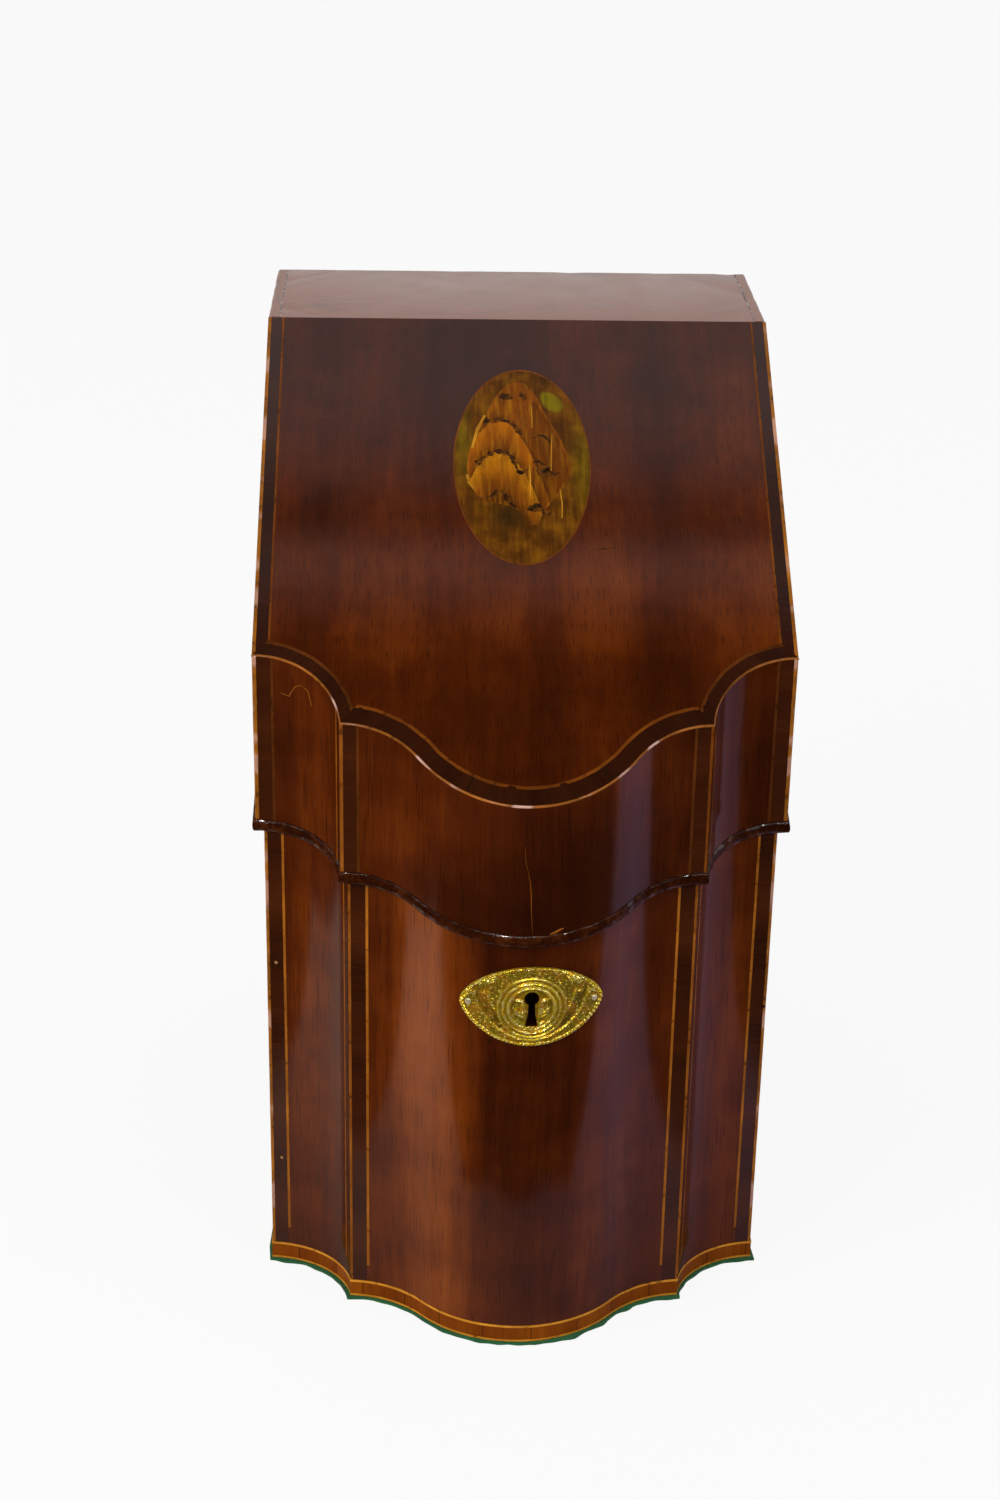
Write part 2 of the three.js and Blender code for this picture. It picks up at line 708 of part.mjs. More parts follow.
const linkX = [-1, 1].map((side) => lockOffset + (side * linkSpacing) / 2);

// From level, with its zero on the parting plane at the links, to its place in the lock.
function tipped(solid) {
  const place = new THREE.Matrix4().makeRotationX(partingAngle).setPosition(0, linkY, partingZ(linkY));
  return solid.transform([...place.elements]);
}

function selvagePlate(grow, low, high) {
  const half = selvageLength / 2 + grow;
  const frontY = selvageRear - selvageWidth - grow;
  return block(lockOffset - half, lockOffset + half, frontY, selvageRear + grow, low, high);
}

function linkSlots(low, high) {
  const across = linkThickness / 2 + lockRunning;
  const deep = linkWidth / 2 + lockRunning;
  return linkX.map((x) => block(x - across, x + across, -deep, deep, low, high));
}

const selvageScrewPlaces = [-1, 1].map((side) => [
  lockOffset + (side * selvageScrewSpacing) / 2,
  selvageRear - selvageWidth / 2,
]);

function lockSection(sheet) {
  const frontY = lockFrontY - (sheet > 0 ? clearOfFace : 0);
  return slab(frontY, lockRearY - sheet, () => lockBottomZ + sheet, (y) => lockTopZ(y) - sheet);
}

function lockCase() {
  const [x0, x1] = [lockOffset - lockWidth / 2, lockOffset + lockWidth / 2];
  const shell = sidePrism(lockSection(0), x0, x1);
  const hollow = sidePrism(lockSection(lockSheet), x0 + lockSheet, x1 - lockSheet);
  const tray = cut(shell, hollow).add(tipped(selvagePlate(0, selvageBottom, selvageTop)));
  const slots = linkSlots(selvageBottom - 2 * lockSheet - glueGap, clearOfFace).map(tipped);
  const screws = selvageScrewPlaces.map(([x, y]) => tipped(screw(x, y, selvageTop, 1, screwHole)));
  const stumps = stumpPlaces.map(([x, z]) => lockPost(stumpRadius, x, z, boltY - boltThickness));
  const post = lockPost(keyPostRadius, lockOffset, escutcheonCentre + keyholeRise, lockFrontY + lockSheet);
  return [...stumps, post].reduce((whole, pin) => whole.add(pin), cut(tray, ...slots, ...screws));
}

// Round post that stands forward from the back of the lock case.
function lockPost(radius, x, z, frontY) {
  const rearY = lockRearY - lockSheet / 2;
  const profile = [[0, frontY], [radius, frontY], [radius, rearY], [0, rearY]];
  return turned(profile, new THREE.Matrix4().setPosition(x, 0, z));
}

const stumpPlaces = [-1, 1].map((side) => [
  lockOffset + (side * stumpSpacing) / 2,
  boltPlateTop - boltPlateHeight / 2,
]);

// The lock's mortise, open upwards to the selvage's bed.
function lockPocket() {
  const [x0, x1] = [lockOffset - lockWidth / 2 - glueGap, lockOffset + lockWidth / 2 + glueGap];
  const low = () => lockBottomZ - glueGap;
  const top = (y) => lockTopZ(y) + glueGap;
  return sidePrism(slab(lockFrontY - glueGap, lockRearY + clearOfFace, low, top), x0, x1);
}

function selvageRecess() {
  const level = selvagePlate(glueGap, selvageBottom - glueGap, clearOfFace);
  const bed = tipped(level);
  const rear = tipped(level.translate([0, clearOfFace, 0]));
  const screws = selvageScrewPlaces.map(([x, y]) => tipped(screw(x, y, selvageTop, 1, screwHole)));
  const slots = linkSlots(-linkReach - lockRunning, 0).map(tipped);
  return [rear, ...screws, ...slots].reduce((whole, tool) => whole.add(tool), bed);
}

// The bolt: a plate on two stumps, with two fingers that shoot through the link plate's eyes
// and a talon below that the key's bit works in.
function lockBolt() {
  const [y0, y1] = [boltY - boltThickness / 2, boltY + boltThickness / 2];
  const half = boltThickness / 2;
  const neckEnds = linkX.map((x) => x - linkThickness / 2 - lockRunning - fingerLength);
  const plateLow = boltPlateTop - boltPlateHeight;
  const plate = block(neckEnds[0] - fingerNeck, neckEnds[1] + fingerLength, y0, y1, plateLow, boltPlateTop);
  const fingers = neckEnds.flatMap((x) => [
    block(x - fingerNeck, x, y0, y1, plateLow, fingerZ + half),
    block(x - fingerNeck, x + fingerLength, y0, y1, fingerZ - half, fingerZ + half),
  ]);
  const talonX = lockOffset - boltThrow / 2;
  const horn = talonWidth / 2 + 2 * fingerNeck;
  const hornLow = plateLow - talonDepth;
  const horns = block(talonX - horn, talonX + horn, y0, y1, hornLow, boltPlateTop);
  const through = (x0, x1, z0, z1) => block(x0, x1, y0 - clearOfFace, y1 + clearOfFace, z0, z1);
  const notch = through(talonX - talonWidth / 2, talonX + talonWidth / 2, hornLow - clearOfFace, plateLow);
  const whole = [...fingers, cut(horns, notch)].reduce((sum, piece) => sum.add(piece), plate);
  const clear = stumpRadius + lidGap / 2;
  const slots = stumpPlaces.map(([x, z]) => through(x - clear - boltThrow, x + clear, z - clear, z + clear));
  return cut(whole, ...slots);
}

// Link plate under the lid's front, pierced for the two links that drop into the lock.
const linkPlateLow = lidGap / 2;
const linkPlateTop = linkPlateLow + linkPlateThickness;

function linkPlate() {
  const plate = selvagePlate(0, linkPlateLow, linkPlateTop);
  const screws = selvageScrewPlaces.map(([x, y]) => screw(x, y, linkPlateLow, -1, screwHole));
  return tipped(cut(plate, ...screws, ...linkX.map((x) => linkTenon(x, glueGap))));
}

// Tenon by which a link is held in its plate, or its hole there when it is grown.
function linkTenon(x, grow) {
  const [across, deep] = [linkThickness / 2 + grow, linkTenonWidth / 2 + grow];
  return block(x - across, x + across, -deep, deep, linkPlateLow - linkRim, linkPlateTop + grow);
}

// A link: a tongue with a square eye for the bolt's finger, and its tenon.
function link(x) {
  const half = linkThickness / 2;
  const shoulder = linkPlateLow - glueGap;
  const tongue = block(x - half, x + half, -linkWidth / 2, linkWidth / 2, -linkReach, shoulder);
  const low = -linkReach + linkRim;
  const eye = block(x - linkThickness, x + linkThickness, -linkEye / 2, linkEye / 2, low, low + linkEye);
  return tipped(cut(tongue.add(linkTenon(x, 0)), eye));
}

function linkPlateBed() {
  const bed = selvagePlate(glueGap, -clearOfFace, linkPlateTop + glueGap);
  const screws = selvageScrewPlaces.map(([x, y]) => screw(x, y, linkPlateLow, -1, screwHole));
  return tipped(screws.reduce((whole, hole) => whole.add(hole), bed));
}

// Countersunk screw along Z. Facing 1 has its head up and facing -1 has it down. Grown, it is
// its own hole, and the hole runs out past the head.
function screw(x, y, z, facing, grow) {
  const head = screwHeadRadius + grow;
  const shank = screwShankRadius + grow;
  const cone = screwHeadRadius - screwShankRadius;
  const tipAt = screwLength + grow;
  const mouth = grow > 0 ? [[0, -clearOfFace], [head, -clearOfFace]] : [[0, 0]];
  const profile = [...mouth, [head, 0], [shank, cone], [shank, tipAt], [0, tipAt]];
  const turn = new THREE.Matrix4().makeRotationX((-facing * Math.PI) / 2);
  return turned(profile, turn.setPosition(x, y, z));
}

// Hinges. Drawn level with the pin on the X axis, then tipped to the parting plane.
const hingeSides = [-1, 1];
const hingeX = (side) => side * (halfWidth - hingeFromSide - hingeLength / 2);
const knuckleLength = (hingeLength - (knuckleCount - 1) * knuckleGap) / knuckleCount;
const leafRear = -hingeY;
const hingeAxisZ = partingZ(hingeY);

function hinged(solid, side) {
  const place = new THREE.Matrix4().makeRotationX(partingAngle).setPosition(hingeX(side), hingeY, hingeAxisZ);
  return solid.transform([...place.elements]);
}

function barrel(radius, from, to) {
  const profile = [[0, from], [radius, from], [radius, to], [0, to]];
  return turned(profile, new THREE.Matrix4().makeRotationZ(-Math.PI / 2), 16);
}

const leafFrontY = leafRear / Math.cos(partingAngle) - hingeLeafWidth;

function leafScrewPlaces() {
  const y = leafRear - hingeLeafWidth / 2;
  return [-1, 1].map((end) => [(end * hingeScrewSpacing) / 2, y]);
}

// A leaf and its knuckles: facing -1 lies on the body, facing 1 under the lid.
function hingeLeaf(side, facing) {
  const half = hingeLength / 2;
  const near = facing * (lidGap / 2);
  const far = facing * (lidGap / 2 + hingeLeafThickness);
  const [low, high] = [near, far].sort((a, b) => a - b);
  const plate = block(-half, half, leafFrontY, 0, low, high);
  const own = facing < 0 ? 0 : 1;
  const starts = Array.from({ length: knuckleCount }, (_, i) => -half + i * (knuckleLength + knuckleGap));
  const mine = starts.filter((_, i) => i % 2 === own);
  const theirs = starts.filter((_, i) => i % 2 !== own);
  const knuckles = mine.map((x) => barrel(knuckleRadius, x, x + knuckleLength));
  const room = knuckleRadius + knuckleGap;
  const gaps = theirs.map((x) => {
    const from = x - knuckleGap;
    return block(from, from + knuckleLength + 2 * knuckleGap, -room, room, -room, room);
  });
  const bore = barrel(hingePinRadius + pinRunning, -half - clearOfFace, half + clearOfFace);
  const leaf = knuckles.reduce((whole, knuckle) => whole.add(knuckle), cut(plate, ...gaps));
  const holes = leafScrewPlaces().map(([x, y]) => screw(x, y, near, -facing, screwHole));
  return hinged(cut(leaf, bore, ...holes), side);
}

function hingePin(side) {
  return hinged(barrel(hingePinRadius, -hingeLength / 2, hingeLength / 2), side);
}

function hingeScrew(side, facing, place) {
  const [x, y] = leafScrewPlaces()[place];
  return hinged(screw(x, y, facing * (lidGap / 2), -facing, 0), side);
}

// The bed that a leaf and its screws are let into, in the top or bottom edge of a back board.
function hingeBed(side, facing) {
  const half = hingeLength / 2 + glueGap;
  const far = facing * (lidGap / 2 + hingeLeafThickness + glueGap);
  const [low, high] = [-facing * clearOfFace, far].sort((a, b) => a - b);
  const bed = block(-half, half, leafFrontY - glueGap, clearOfFace, low, high);
  const holes = leafScrewPlaces().map(([x, y]) => screw(x, y, facing * (lidGap / 2), -facing, screwHole));
  return hinged(holes.reduce((whole, hole) => whole.add(hole), bed), side);
}

// The box stands with its middle over the origin. The lid turns about its group's origin.
const box = new THREE.Group();
box.position.y = (overallFront - overallBack) / 2;
const lid = new THREE.Group();
lid.position.set(0, hingeY, hingeAxisZ);
box.add(lid);

function add(parent, name, solid, finish) {
  const geometry = toGeometry(solid);
  if (parent === lid) geometry.translate(-lid.position.x, -lid.position.y, -lid.position.z);
  const mesh = new THREE.Mesh(geometry, materials[finish]);
  mesh.name = name;
  parent.add(mesh);
}

const sideNames = [[-1, "left"], [1, "right"]];

add(box, "baize_pad", baizePad(), "baize");
add(box, "base_board", baseBoard(), "carcase");
add(box, "base_band", baseBand(), "crossband");
add(box, "body_front", bodyFront(), "mahogany");
add(box, "body_back", bodyBack(), "mahogany");
add(box, "body_bead", bodyBead(), "moulding");
add(box, "cutlery_tray", cutleryTray(), "mahogany");
add(box, "tray_ledge_back", backLedge(), "carcase");
for (const [side, name] of sideNames) {
  add(box, `body_side_${name}`, bodySide(side), "mahogany");
  add(box, `body_corner_string_${name}`, bodyCornerString(side), "boxwood");
  add(box, `tray_ledge_${name}`, sideLedge(side), "carcase");
  add(box, `partition_${name}`, partition(side), "carcase");
  add(box, `escutcheon_pin_${name}`, escutcheonPin(side, 0), "brass");
}
add(box, "escutcheon", escutcheon(), "brass");
add(box, "lock_case", lockCase(), "brass");
add(box, "lock_bolt", lockBolt(), "brass");

add(lid, "lid_front", lidFront(), "mahogany");
add(lid, "lid_back", lidBack(), "mahogany");
add(lid, "lid_slope", slopeBoard(), "mahogany");
add(lid, "lid_top", lidTopBoard(), "mahogany");
add(lid, "lid_bead", lidBead(), "moulding");
add(lid, "shell_oval", shellOval(0), "shell");
add(lid, "link_plate", linkPlate(), "brass");
for (const [side, name] of sideNames) {
  add(lid, `lid_side_${name}`, lidSide(side), "mahogany");
  add(lid, `lid_corner_string_${name}`, lidCornerString(side), "boxwood");
}

selvageScrewPlaces.forEach(([x, y], i) => {
  const name = sideNames[i][1];
  add(box, `lock_screw_${name}`, tipped(screw(x, y, selvageTop, 1, 0)), "iron");
  add(lid, `link_plate_screw_${name}`, tipped(screw(x, y, linkPlateLow, -1, 0)), "iron");
  add(lid, `link_${name}`, link(linkX[i]), "brass");
});

for (const [side, name] of sideNames) {
  add(box, `hinge_${name}_body_leaf`, hingeLeaf(side, -1), "brass");
  add(box, `hinge_${name}_pin`, hingePin(side), "brass");
  add(lid, `hinge_${name}_lid_leaf`, hingeLeaf(side, 1), "brass");
  for (const place of [0, 1]) {
    add(box, `hinge_${name}_body_screw_${place + 1}`, hingeScrew(side, -1, place), "iron");
    add(lid, `hinge_${name}_lid_screw_${place + 1}`, hingeScrew(side, 1, place), "iron");
  }
}

const group = new THREE.Group();
group.add(box);
export default group;
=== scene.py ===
import math
import bmesh
import bpy
from mathutils import Matrix, Vector, noise


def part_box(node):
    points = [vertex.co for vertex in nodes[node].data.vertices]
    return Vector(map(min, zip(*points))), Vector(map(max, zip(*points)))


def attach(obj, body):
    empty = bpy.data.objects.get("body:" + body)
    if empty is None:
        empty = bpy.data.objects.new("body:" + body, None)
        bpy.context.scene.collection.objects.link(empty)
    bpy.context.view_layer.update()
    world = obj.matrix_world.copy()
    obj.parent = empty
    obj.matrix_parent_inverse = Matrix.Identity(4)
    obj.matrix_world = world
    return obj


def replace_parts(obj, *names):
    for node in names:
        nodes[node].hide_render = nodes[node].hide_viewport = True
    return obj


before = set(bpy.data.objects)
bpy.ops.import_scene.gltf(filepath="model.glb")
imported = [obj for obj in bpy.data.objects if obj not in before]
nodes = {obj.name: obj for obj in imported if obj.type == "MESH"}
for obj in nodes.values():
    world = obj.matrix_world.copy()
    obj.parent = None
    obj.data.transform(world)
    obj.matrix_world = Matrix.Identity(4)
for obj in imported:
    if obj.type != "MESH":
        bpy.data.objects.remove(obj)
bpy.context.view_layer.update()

# The box's own sizes in millimetres. Depths are counted forward from its back face.
boxSize = {
    "halfWidth": 113.0,
    "wingDepth": 253.0,
    "arrisDepth": 282.5,
    "bowDepth": 317.0,
    "bowHalfWidth": 76.0,
    "topDepth": 89.0,
    "topHeight": 399.0,
    "boardThick": 8.0,
    "partingHeight": 220.5,
    "frontHeight": 80.5,      # of the lid, at its wings
    "partingAngle": 18.4,
    "coveEnd": 84.0,
    "hollowShare": 0.42,
    "bodyInset": 3.4,         # the body stands back from the lid's face
    "bodyBottom": 10.0,
    "baizeTop": 1.6,
}
steps = {"cove": 40, "hollow": 16, "bow": 24, "side": 24}
sides = ((-1, "Left"), (1, "Right"))
tiny = 1e-6
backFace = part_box("body_back")[1].y * 1000

halfWidth = boxSize["halfWidth"]
wingDepth = boxSize["wingDepth"]
arrisDepth = boxSize["arrisDepth"]
bowDepth = boxSize["bowDepth"]
bowHalf = boxSize["bowHalfWidth"]
bodyInset = boxSize["bodyInset"]
coveEnd = math.radians(boxSize["coveEnd"])
coveX = (halfWidth - bowHalf) / math.sin(coveEnd)
coveY = (arrisDepth - wingDepth) / (1 - math.cos(coveEnd))
bowTurn = 2 * math.atan((bowDepth - arrisDepth) / bowHalf)
hollowRadius = boxSize["hollowShare"] * bowHalf / math.sin(bowTurn)
bowRadius = (1 - boxSize["hollowShare"]) * bowHalf / math.sin(bowTurn)
partingRise = math.tan(math.radians(boxSize["partingAngle"]))
arrisHeight = boxSize["partingHeight"] + boxSize["frontHeight"]
slopeRise = (boxSize["topHeight"] - arrisHeight) / (wingDepth - boxSize["topDepth"])
slopeTurn = math.atan(slopeRise)


def partingZ(y):
    return boxSize["partingHeight"] + partingRise * (y + wingDepth)


def slopeZ(y):
    return arrisHeight + slopeRise * (y + wingDepth)


def heightAt(height, y):
    return height(y) if callable(height) else height


def raised(height, by):
    return lambda y: heightAt(height, y) + by


def wave(*at):
    # smooth noise at a place
    return noise.noise(Vector(at))


def placed(name, data):
    # an object for a mesh, camera or lamp, put in the scene
    thing = bpy.data.objects.new(name, data)
    bpy.context.scene.collection.objects.link(thing)
    return thing


# shader helper
class Wire:
    # A socket that can be added, taken away, multiplied and so on

    def __init__(self, finish, socket):
        self.finish = finish
        self.socket = socket

    def maths(self, operation, other=None, clamp=False):
        values = {0: self} if other is None else {0: self, 1: other}
        return self.finish.add("ShaderNodeMath", {"operation": operation, "use_clamp": clamp}, values)

    def __add__(self, other):
        return self.maths("ADD", other)

    def __sub__(self, other):
        return self.maths("SUBTRACT", other)

    def __rsub__(self, other):
        return self.finish.add("ShaderNodeMath", {"operation": "SUBTRACT"}, {0: other, 1: self})

    def __mul__(self, other):
        return self.maths("MULTIPLY", other)

    def __rmul__(self, other):
        return self.maths("MULTIPLY", other)

    def __truediv__(self, other):
        return self.maths("DIVIDE", other)

    def clamped(self):
        return self.maths("ADD", 0.0, clamp=True)

    def size(self):
        return self.maths("ABSOLUTE")

    def over(self, edge, soft=0.02):
        # 0 below the edge, 1 above it, with a soft step between
        return ((self - (edge - soft)) / (2 * soft)).clamped()

    def under(self, edge, soft=0.02):
        return 1 - self.over(edge, soft)


finishes = {}


class Finish:
    # A material, kept in finishes under its name, or the world's nodes where their tree is handed in

    def __init__(self, name, tree=None):
        self.tree = tree
        if tree is None:
            finishes[name] = bpy.data.materials.new(name)
            finishes[name].use_nodes = True
            self.tree = finishes[name].node_tree
        self.shader = self.tree.nodes["Principled BSDF" if tree is None else "Background"]

    def add(self, kind, settings=None, values=None, out=0):
        # out: which output to give, None for all of them
        node = self.tree.nodes.new(kind)
        for key, value in (settings or {}).items():
            if key == "stops":
                ramp = node.color_ramp
                while len(ramp.elements) < len(value):
                    ramp.elements.new(0.5)
                for element, (place, colour) in zip(ramp.elements, value):
                    element.position = place
                    element.color = (*colour, 1)
            else:
                setattr(node, key, value)
        for key, value in (values or {}).items():
            self.feed(node.inputs[key], value)
        if out is None:
            return [Wire(self, socket) for socket in node.outputs]
        return Wire(self, node.outputs[out])

    def feed(self, socket, value):
        if isinstance(value, Wire):
            self.tree.links.new(value.socket, socket)
        elif socket.type == "RGBA":
            socket.default_value = (*value, 1)
        else:
            socket.default_value = value

    def give(self, **values):
        for key, value in values.items():
            self.feed(self.shader.inputs[key.replace("_", " ")], value)

    def place(self):
        # where a point is on the object, in metres
        return self.add("ShaderNodeTexCoord", out=3)

    def sheetPlace(self, layer="layout"):
        # the piece's own flat layout, in metres
        return self.add("ShaderNodeUVMap", {"uv_map": layer})

    def stretch(self, vector, factors):
        return self.add("ShaderNodeVectorMath", {"operation": "MULTIPLY"}, {0: vector, 1: factors})

    def shift(self, vector, by):
        return self.add("ShaderNodeVectorMath", {"operation": "ADD"}, {0: vector, 1: by})

    def parts(self, vector):
        return self.add("ShaderNodeSeparateXYZ", {}, {0: vector}, out=None)

    def joined(self, x, y, z):
        return self.add("ShaderNodeCombineXYZ", {}, {0: x, 1: y, 2: z})

    def ray(self, word):
        return self.add("ShaderNodeLightPath", out=f"Is {word} Ray")

    def grit(self, vector, scale, detail=3.0, rough=0.55):
        return self.add("ShaderNodeTexNoise", {}, {"Vector": vector, "Scale": scale, "Detail": detail,
                                                   "Roughness": rough})

    def grain(self, vector, share, *look):
        # noise drawn out along the second axis of a layout
        return self.grit(self.stretch(vector, (1.0, share, 1.0)), *look)

    def cells(self, vector, scale):
        return self.add("ShaderNodeTexVoronoi", {}, {"Vector": vector, "Scale": scale})

    def ramp(self, value, stops):
        return self.add("ShaderNodeValToRGB", {"stops": stops}, {0: value})

    def mix(self, first, second, factor):
        return self.add("ShaderNodeMix", {"data_type": "RGBA"}, {0: factor, 6: first, 7: second}, out=2)

    def bump(self, height, distance):
        self.give(Normal=self.add("ShaderNodeBump", {}, {"Distance": distance, "Height": height}))


# woods
veneer = {
    "deep": (0.020, 0.0030, 0.0003),
    "dark": (0.041, 0.0064, 0.0004),
    "middle": (0.076, 0.0122, 0.0007),
    "warm": (0.135, 0.0250, 0.0015),
    "light": (0.225, 0.0500, 0.0045),
    "streaksPerMetre": 210.0,
    "poresPerMetre": 1500.0,
    "roughness": 0.14,
    "ior": 1.48,
    "grainShare": 0.035,      # how much the grain changes along its length
    "polish": 1.0,
    "patches": (),            # painted light and shade, as lighter or darker places: middle x and z, half width and height in mm, amount
}


def mahogany(name, tone, seed, layout=None, **look):
    # layout None: the piece's own flat layout, grain along its second axis.
    # layout "x", "y" or "z": places on the object, grain along that axis.
    look = dict(veneer, **look)
    share, dull = look["grainShare"], 1 - look["polish"]
    f = Finish(name)
    if layout is None:
        at = f.sheetPlace()
        lie = (1.0, share, 1.0)
    else:
        at = f.place()
        lie = tuple(share if axis == layout else 1.0 for axis in "xyz")
    at = f.shift(at, (seed, seed * 0.37, seed * 0.73))
    wander = f.grit(at, 9.0, 2.0)
    bent = f.add("ShaderNodeVectorMath", {"operation": "MULTIPLY_ADD"},
                 {0: f.joined(wander, wander, wander), 1: (0.010, 0.0, 0.010), 2: f.stretch(at, lie)})
    broad = f.grit(bent, 24.0, 2.0, 0.5)
    streak = f.grit(bent, look["streaksPerMetre"], 4.0, 0.62)
    fine = f.grit(bent, look["streaksPerMetre"] * 6, 3.0, 0.6)
    mottle = f.grit(at, 30.0, 4.0, 0.55)
    pore = f.grit(f.stretch(at, lie), look["poresPerMetre"], 2.0, 0.5).over(0.62, 0.06)
    level = broad * 0.60 + streak * 0.28 + fine * 0.08 + mottle * 0.46 + (tone - 0.24)
    # painted light and shade: each place makes the veneer lighter or darker, standing in for how light falls
    # on it
    for middleX, middleZ, halfX, halfZ, amount in look["patches"]:
        x, _, z = f.parts(f.place())
        u, v = (x * 1000 - middleX) / halfX, (z * 1000 - middleZ) / halfZ
        level = level + (1 - u * u - v * v).clamped() * amount
    colour = f.ramp(level, [(0.10, look["deep"]), (0.30, look["dark"]), (0.47, look["middle"]),
                            (0.64, look["warm"]), (0.86, look["light"])])
    colour = f.mix(colour, look["deep"], pore * 0.5)
    speck = f.cells(at, 130.0).under(0.035, 0.012) * f.grit(at, 60.0).over(0.60, 0.03)
    colour = f.mix(colour, look["light"], speck * 0.6)
    smear = f.grit(at, 55.0, 1.0, 0.6)
    f.give(Base_Color=colour, IOR=look["ior"],
           Roughness=smear * 0.10 + (look["roughness"] - 0.05 + dull * 0.3))
    f.bump(fine * 0.10 - pore * 0.10 + smear * 1.2, 0.00004 + dull * 0.0001)


def stringWood(name, light, dark, varnishAndGlint=0.0):
    # the fourth argument: how much varnish is left, in patches, and how strong the painted pinkish-white
    # highlights on those patches are
    f = Finish(name)
    at = f.sheetPlace()
    along = f.grit(at, 70.0, 4.0, 0.6)
    fine = f.grit(at, 900.0, 3.0)
    worn = f.grit(at, 28.0, 3.0).over(0.58, 0.07)
    colour = f.mix(dark, light, (along * 1.5 + fine * 0.5 - 0.52).clamped())
    colour = f.mix(colour, tuple(v * 1.5 for v in light), worn * 0.4)
    joint = f.grit(at, 260.0, 2.0).over(0.64, 0.04)
    colour = f.mix(colour, (0.030, 0.008, 0.001), joint * 0.6)
    f.give(Base_Color=colour, Roughness=fine * 0.1 + 0.18, IOR=1.25)
    if varnishAndGlint:
        varnishAndGlintMask = f.grit(at, 45.0, 2.0)
        f.give(Coat_Weight=varnishAndGlintMask.over(0.50, 0.03) * varnishAndGlint, Coat_Roughness=0.10)
        # painted highlight: pinkish-white glints mixed into the colour on the varnished patches
        f.give(Base_Color=f.mix(colour, (0.80, 0.50, 0.42), varnishAndGlintMask.over(0.56, 0.03) * (varnishAndGlint * 0.7)))
    f.bump(along, 0.00004)


def crossbandWood(name, stops, jointEvery=0.0, jointShade=0.0, ior=1.5):
    # banding laid with its grain across its length; its own layout runs along the band
    f = Finish(name)
    at = f.sheetPlace()
    grain = f.grain(at, 0.05, 800.0, 4.0, 0.62)
    patch = f.grain(at, 0.2, 45.0, 3.0, 0.55)
    colour = f.ramp(grain * 0.45 + patch * 0.85 - 0.15, stops)
    if jointEvery:
        nudge = f.grit(f.stretch(at, (1.0, 0.0, 0.0)), 30.0)
        saw = (f.parts(at)[0] + nudge * (jointEvery * 0.5)) / jointEvery
        cutLine = saw.maths("FRACT").under(0.02, 0.01)
        block = f.add("ShaderNodeTexWhiteNoise", {"noise_dimensions": "1D"}, {"W": saw.maths("FLOOR")})
        colour = f.mix(colour, f.mix(stops[0][1], stops[-1][1], block), jointShade)
        colour = f.mix(colour, (0.020, 0.006, 0.001), cutLine * 0.8)
    f.give(Base_Color=colour, Roughness=grain * 0.10 + 0.13, IOR=ior)
    f.bump(grain, 0.00003)


def darkMoulding():
    f = Finish("darkMoulding")
    at = f.place()
    patch = f.grit(at, 170.0, 4.0, 0.6)
    fine = f.grit(at, 700.0, 3.0)
    colour = f.ramp(patch * 0.8 + fine * 0.3,
                    [(0.25, (0.010, 0.0020, 0.0006)), (0.55, (0.028, 0.0052, 0.0009)),
                     (0.85, (0.100, 0.024, 0.003))])
    f.give(Base_Color=colour, Roughness=patch * 0.12 + 0.10, IOR=1.20, Coat_Roughness=0.06)
    f.give(Coat_Weight=f.grit(at, 240.0, 2.0).over(0.54, 0.03) * 0.8)
    f.bump(patch * 1.4 + fine * 0.2, 0.00060)


def greenBaize():
    f = Finish("greenBaize")
    at = f.place()
    felt = f.grit(at, 900.0, 4.0, 0.7)
    patch = f.grit(at, 40.0, 3.0)
    colour = f.ramp(felt * 0.6 + patch * 0.5, [(0.3, (0.003, 0.044, 0.012)), (0.55, (0.004, 0.120, 0.030)),
                                              (0.8, (0.010, 0.215, 0.056))])
    f.give(Base_Color=colour, Roughness=felt * 0.1 + 0.88, Sheen_Weight=0.15)
    f.bump(felt, 0.0004)


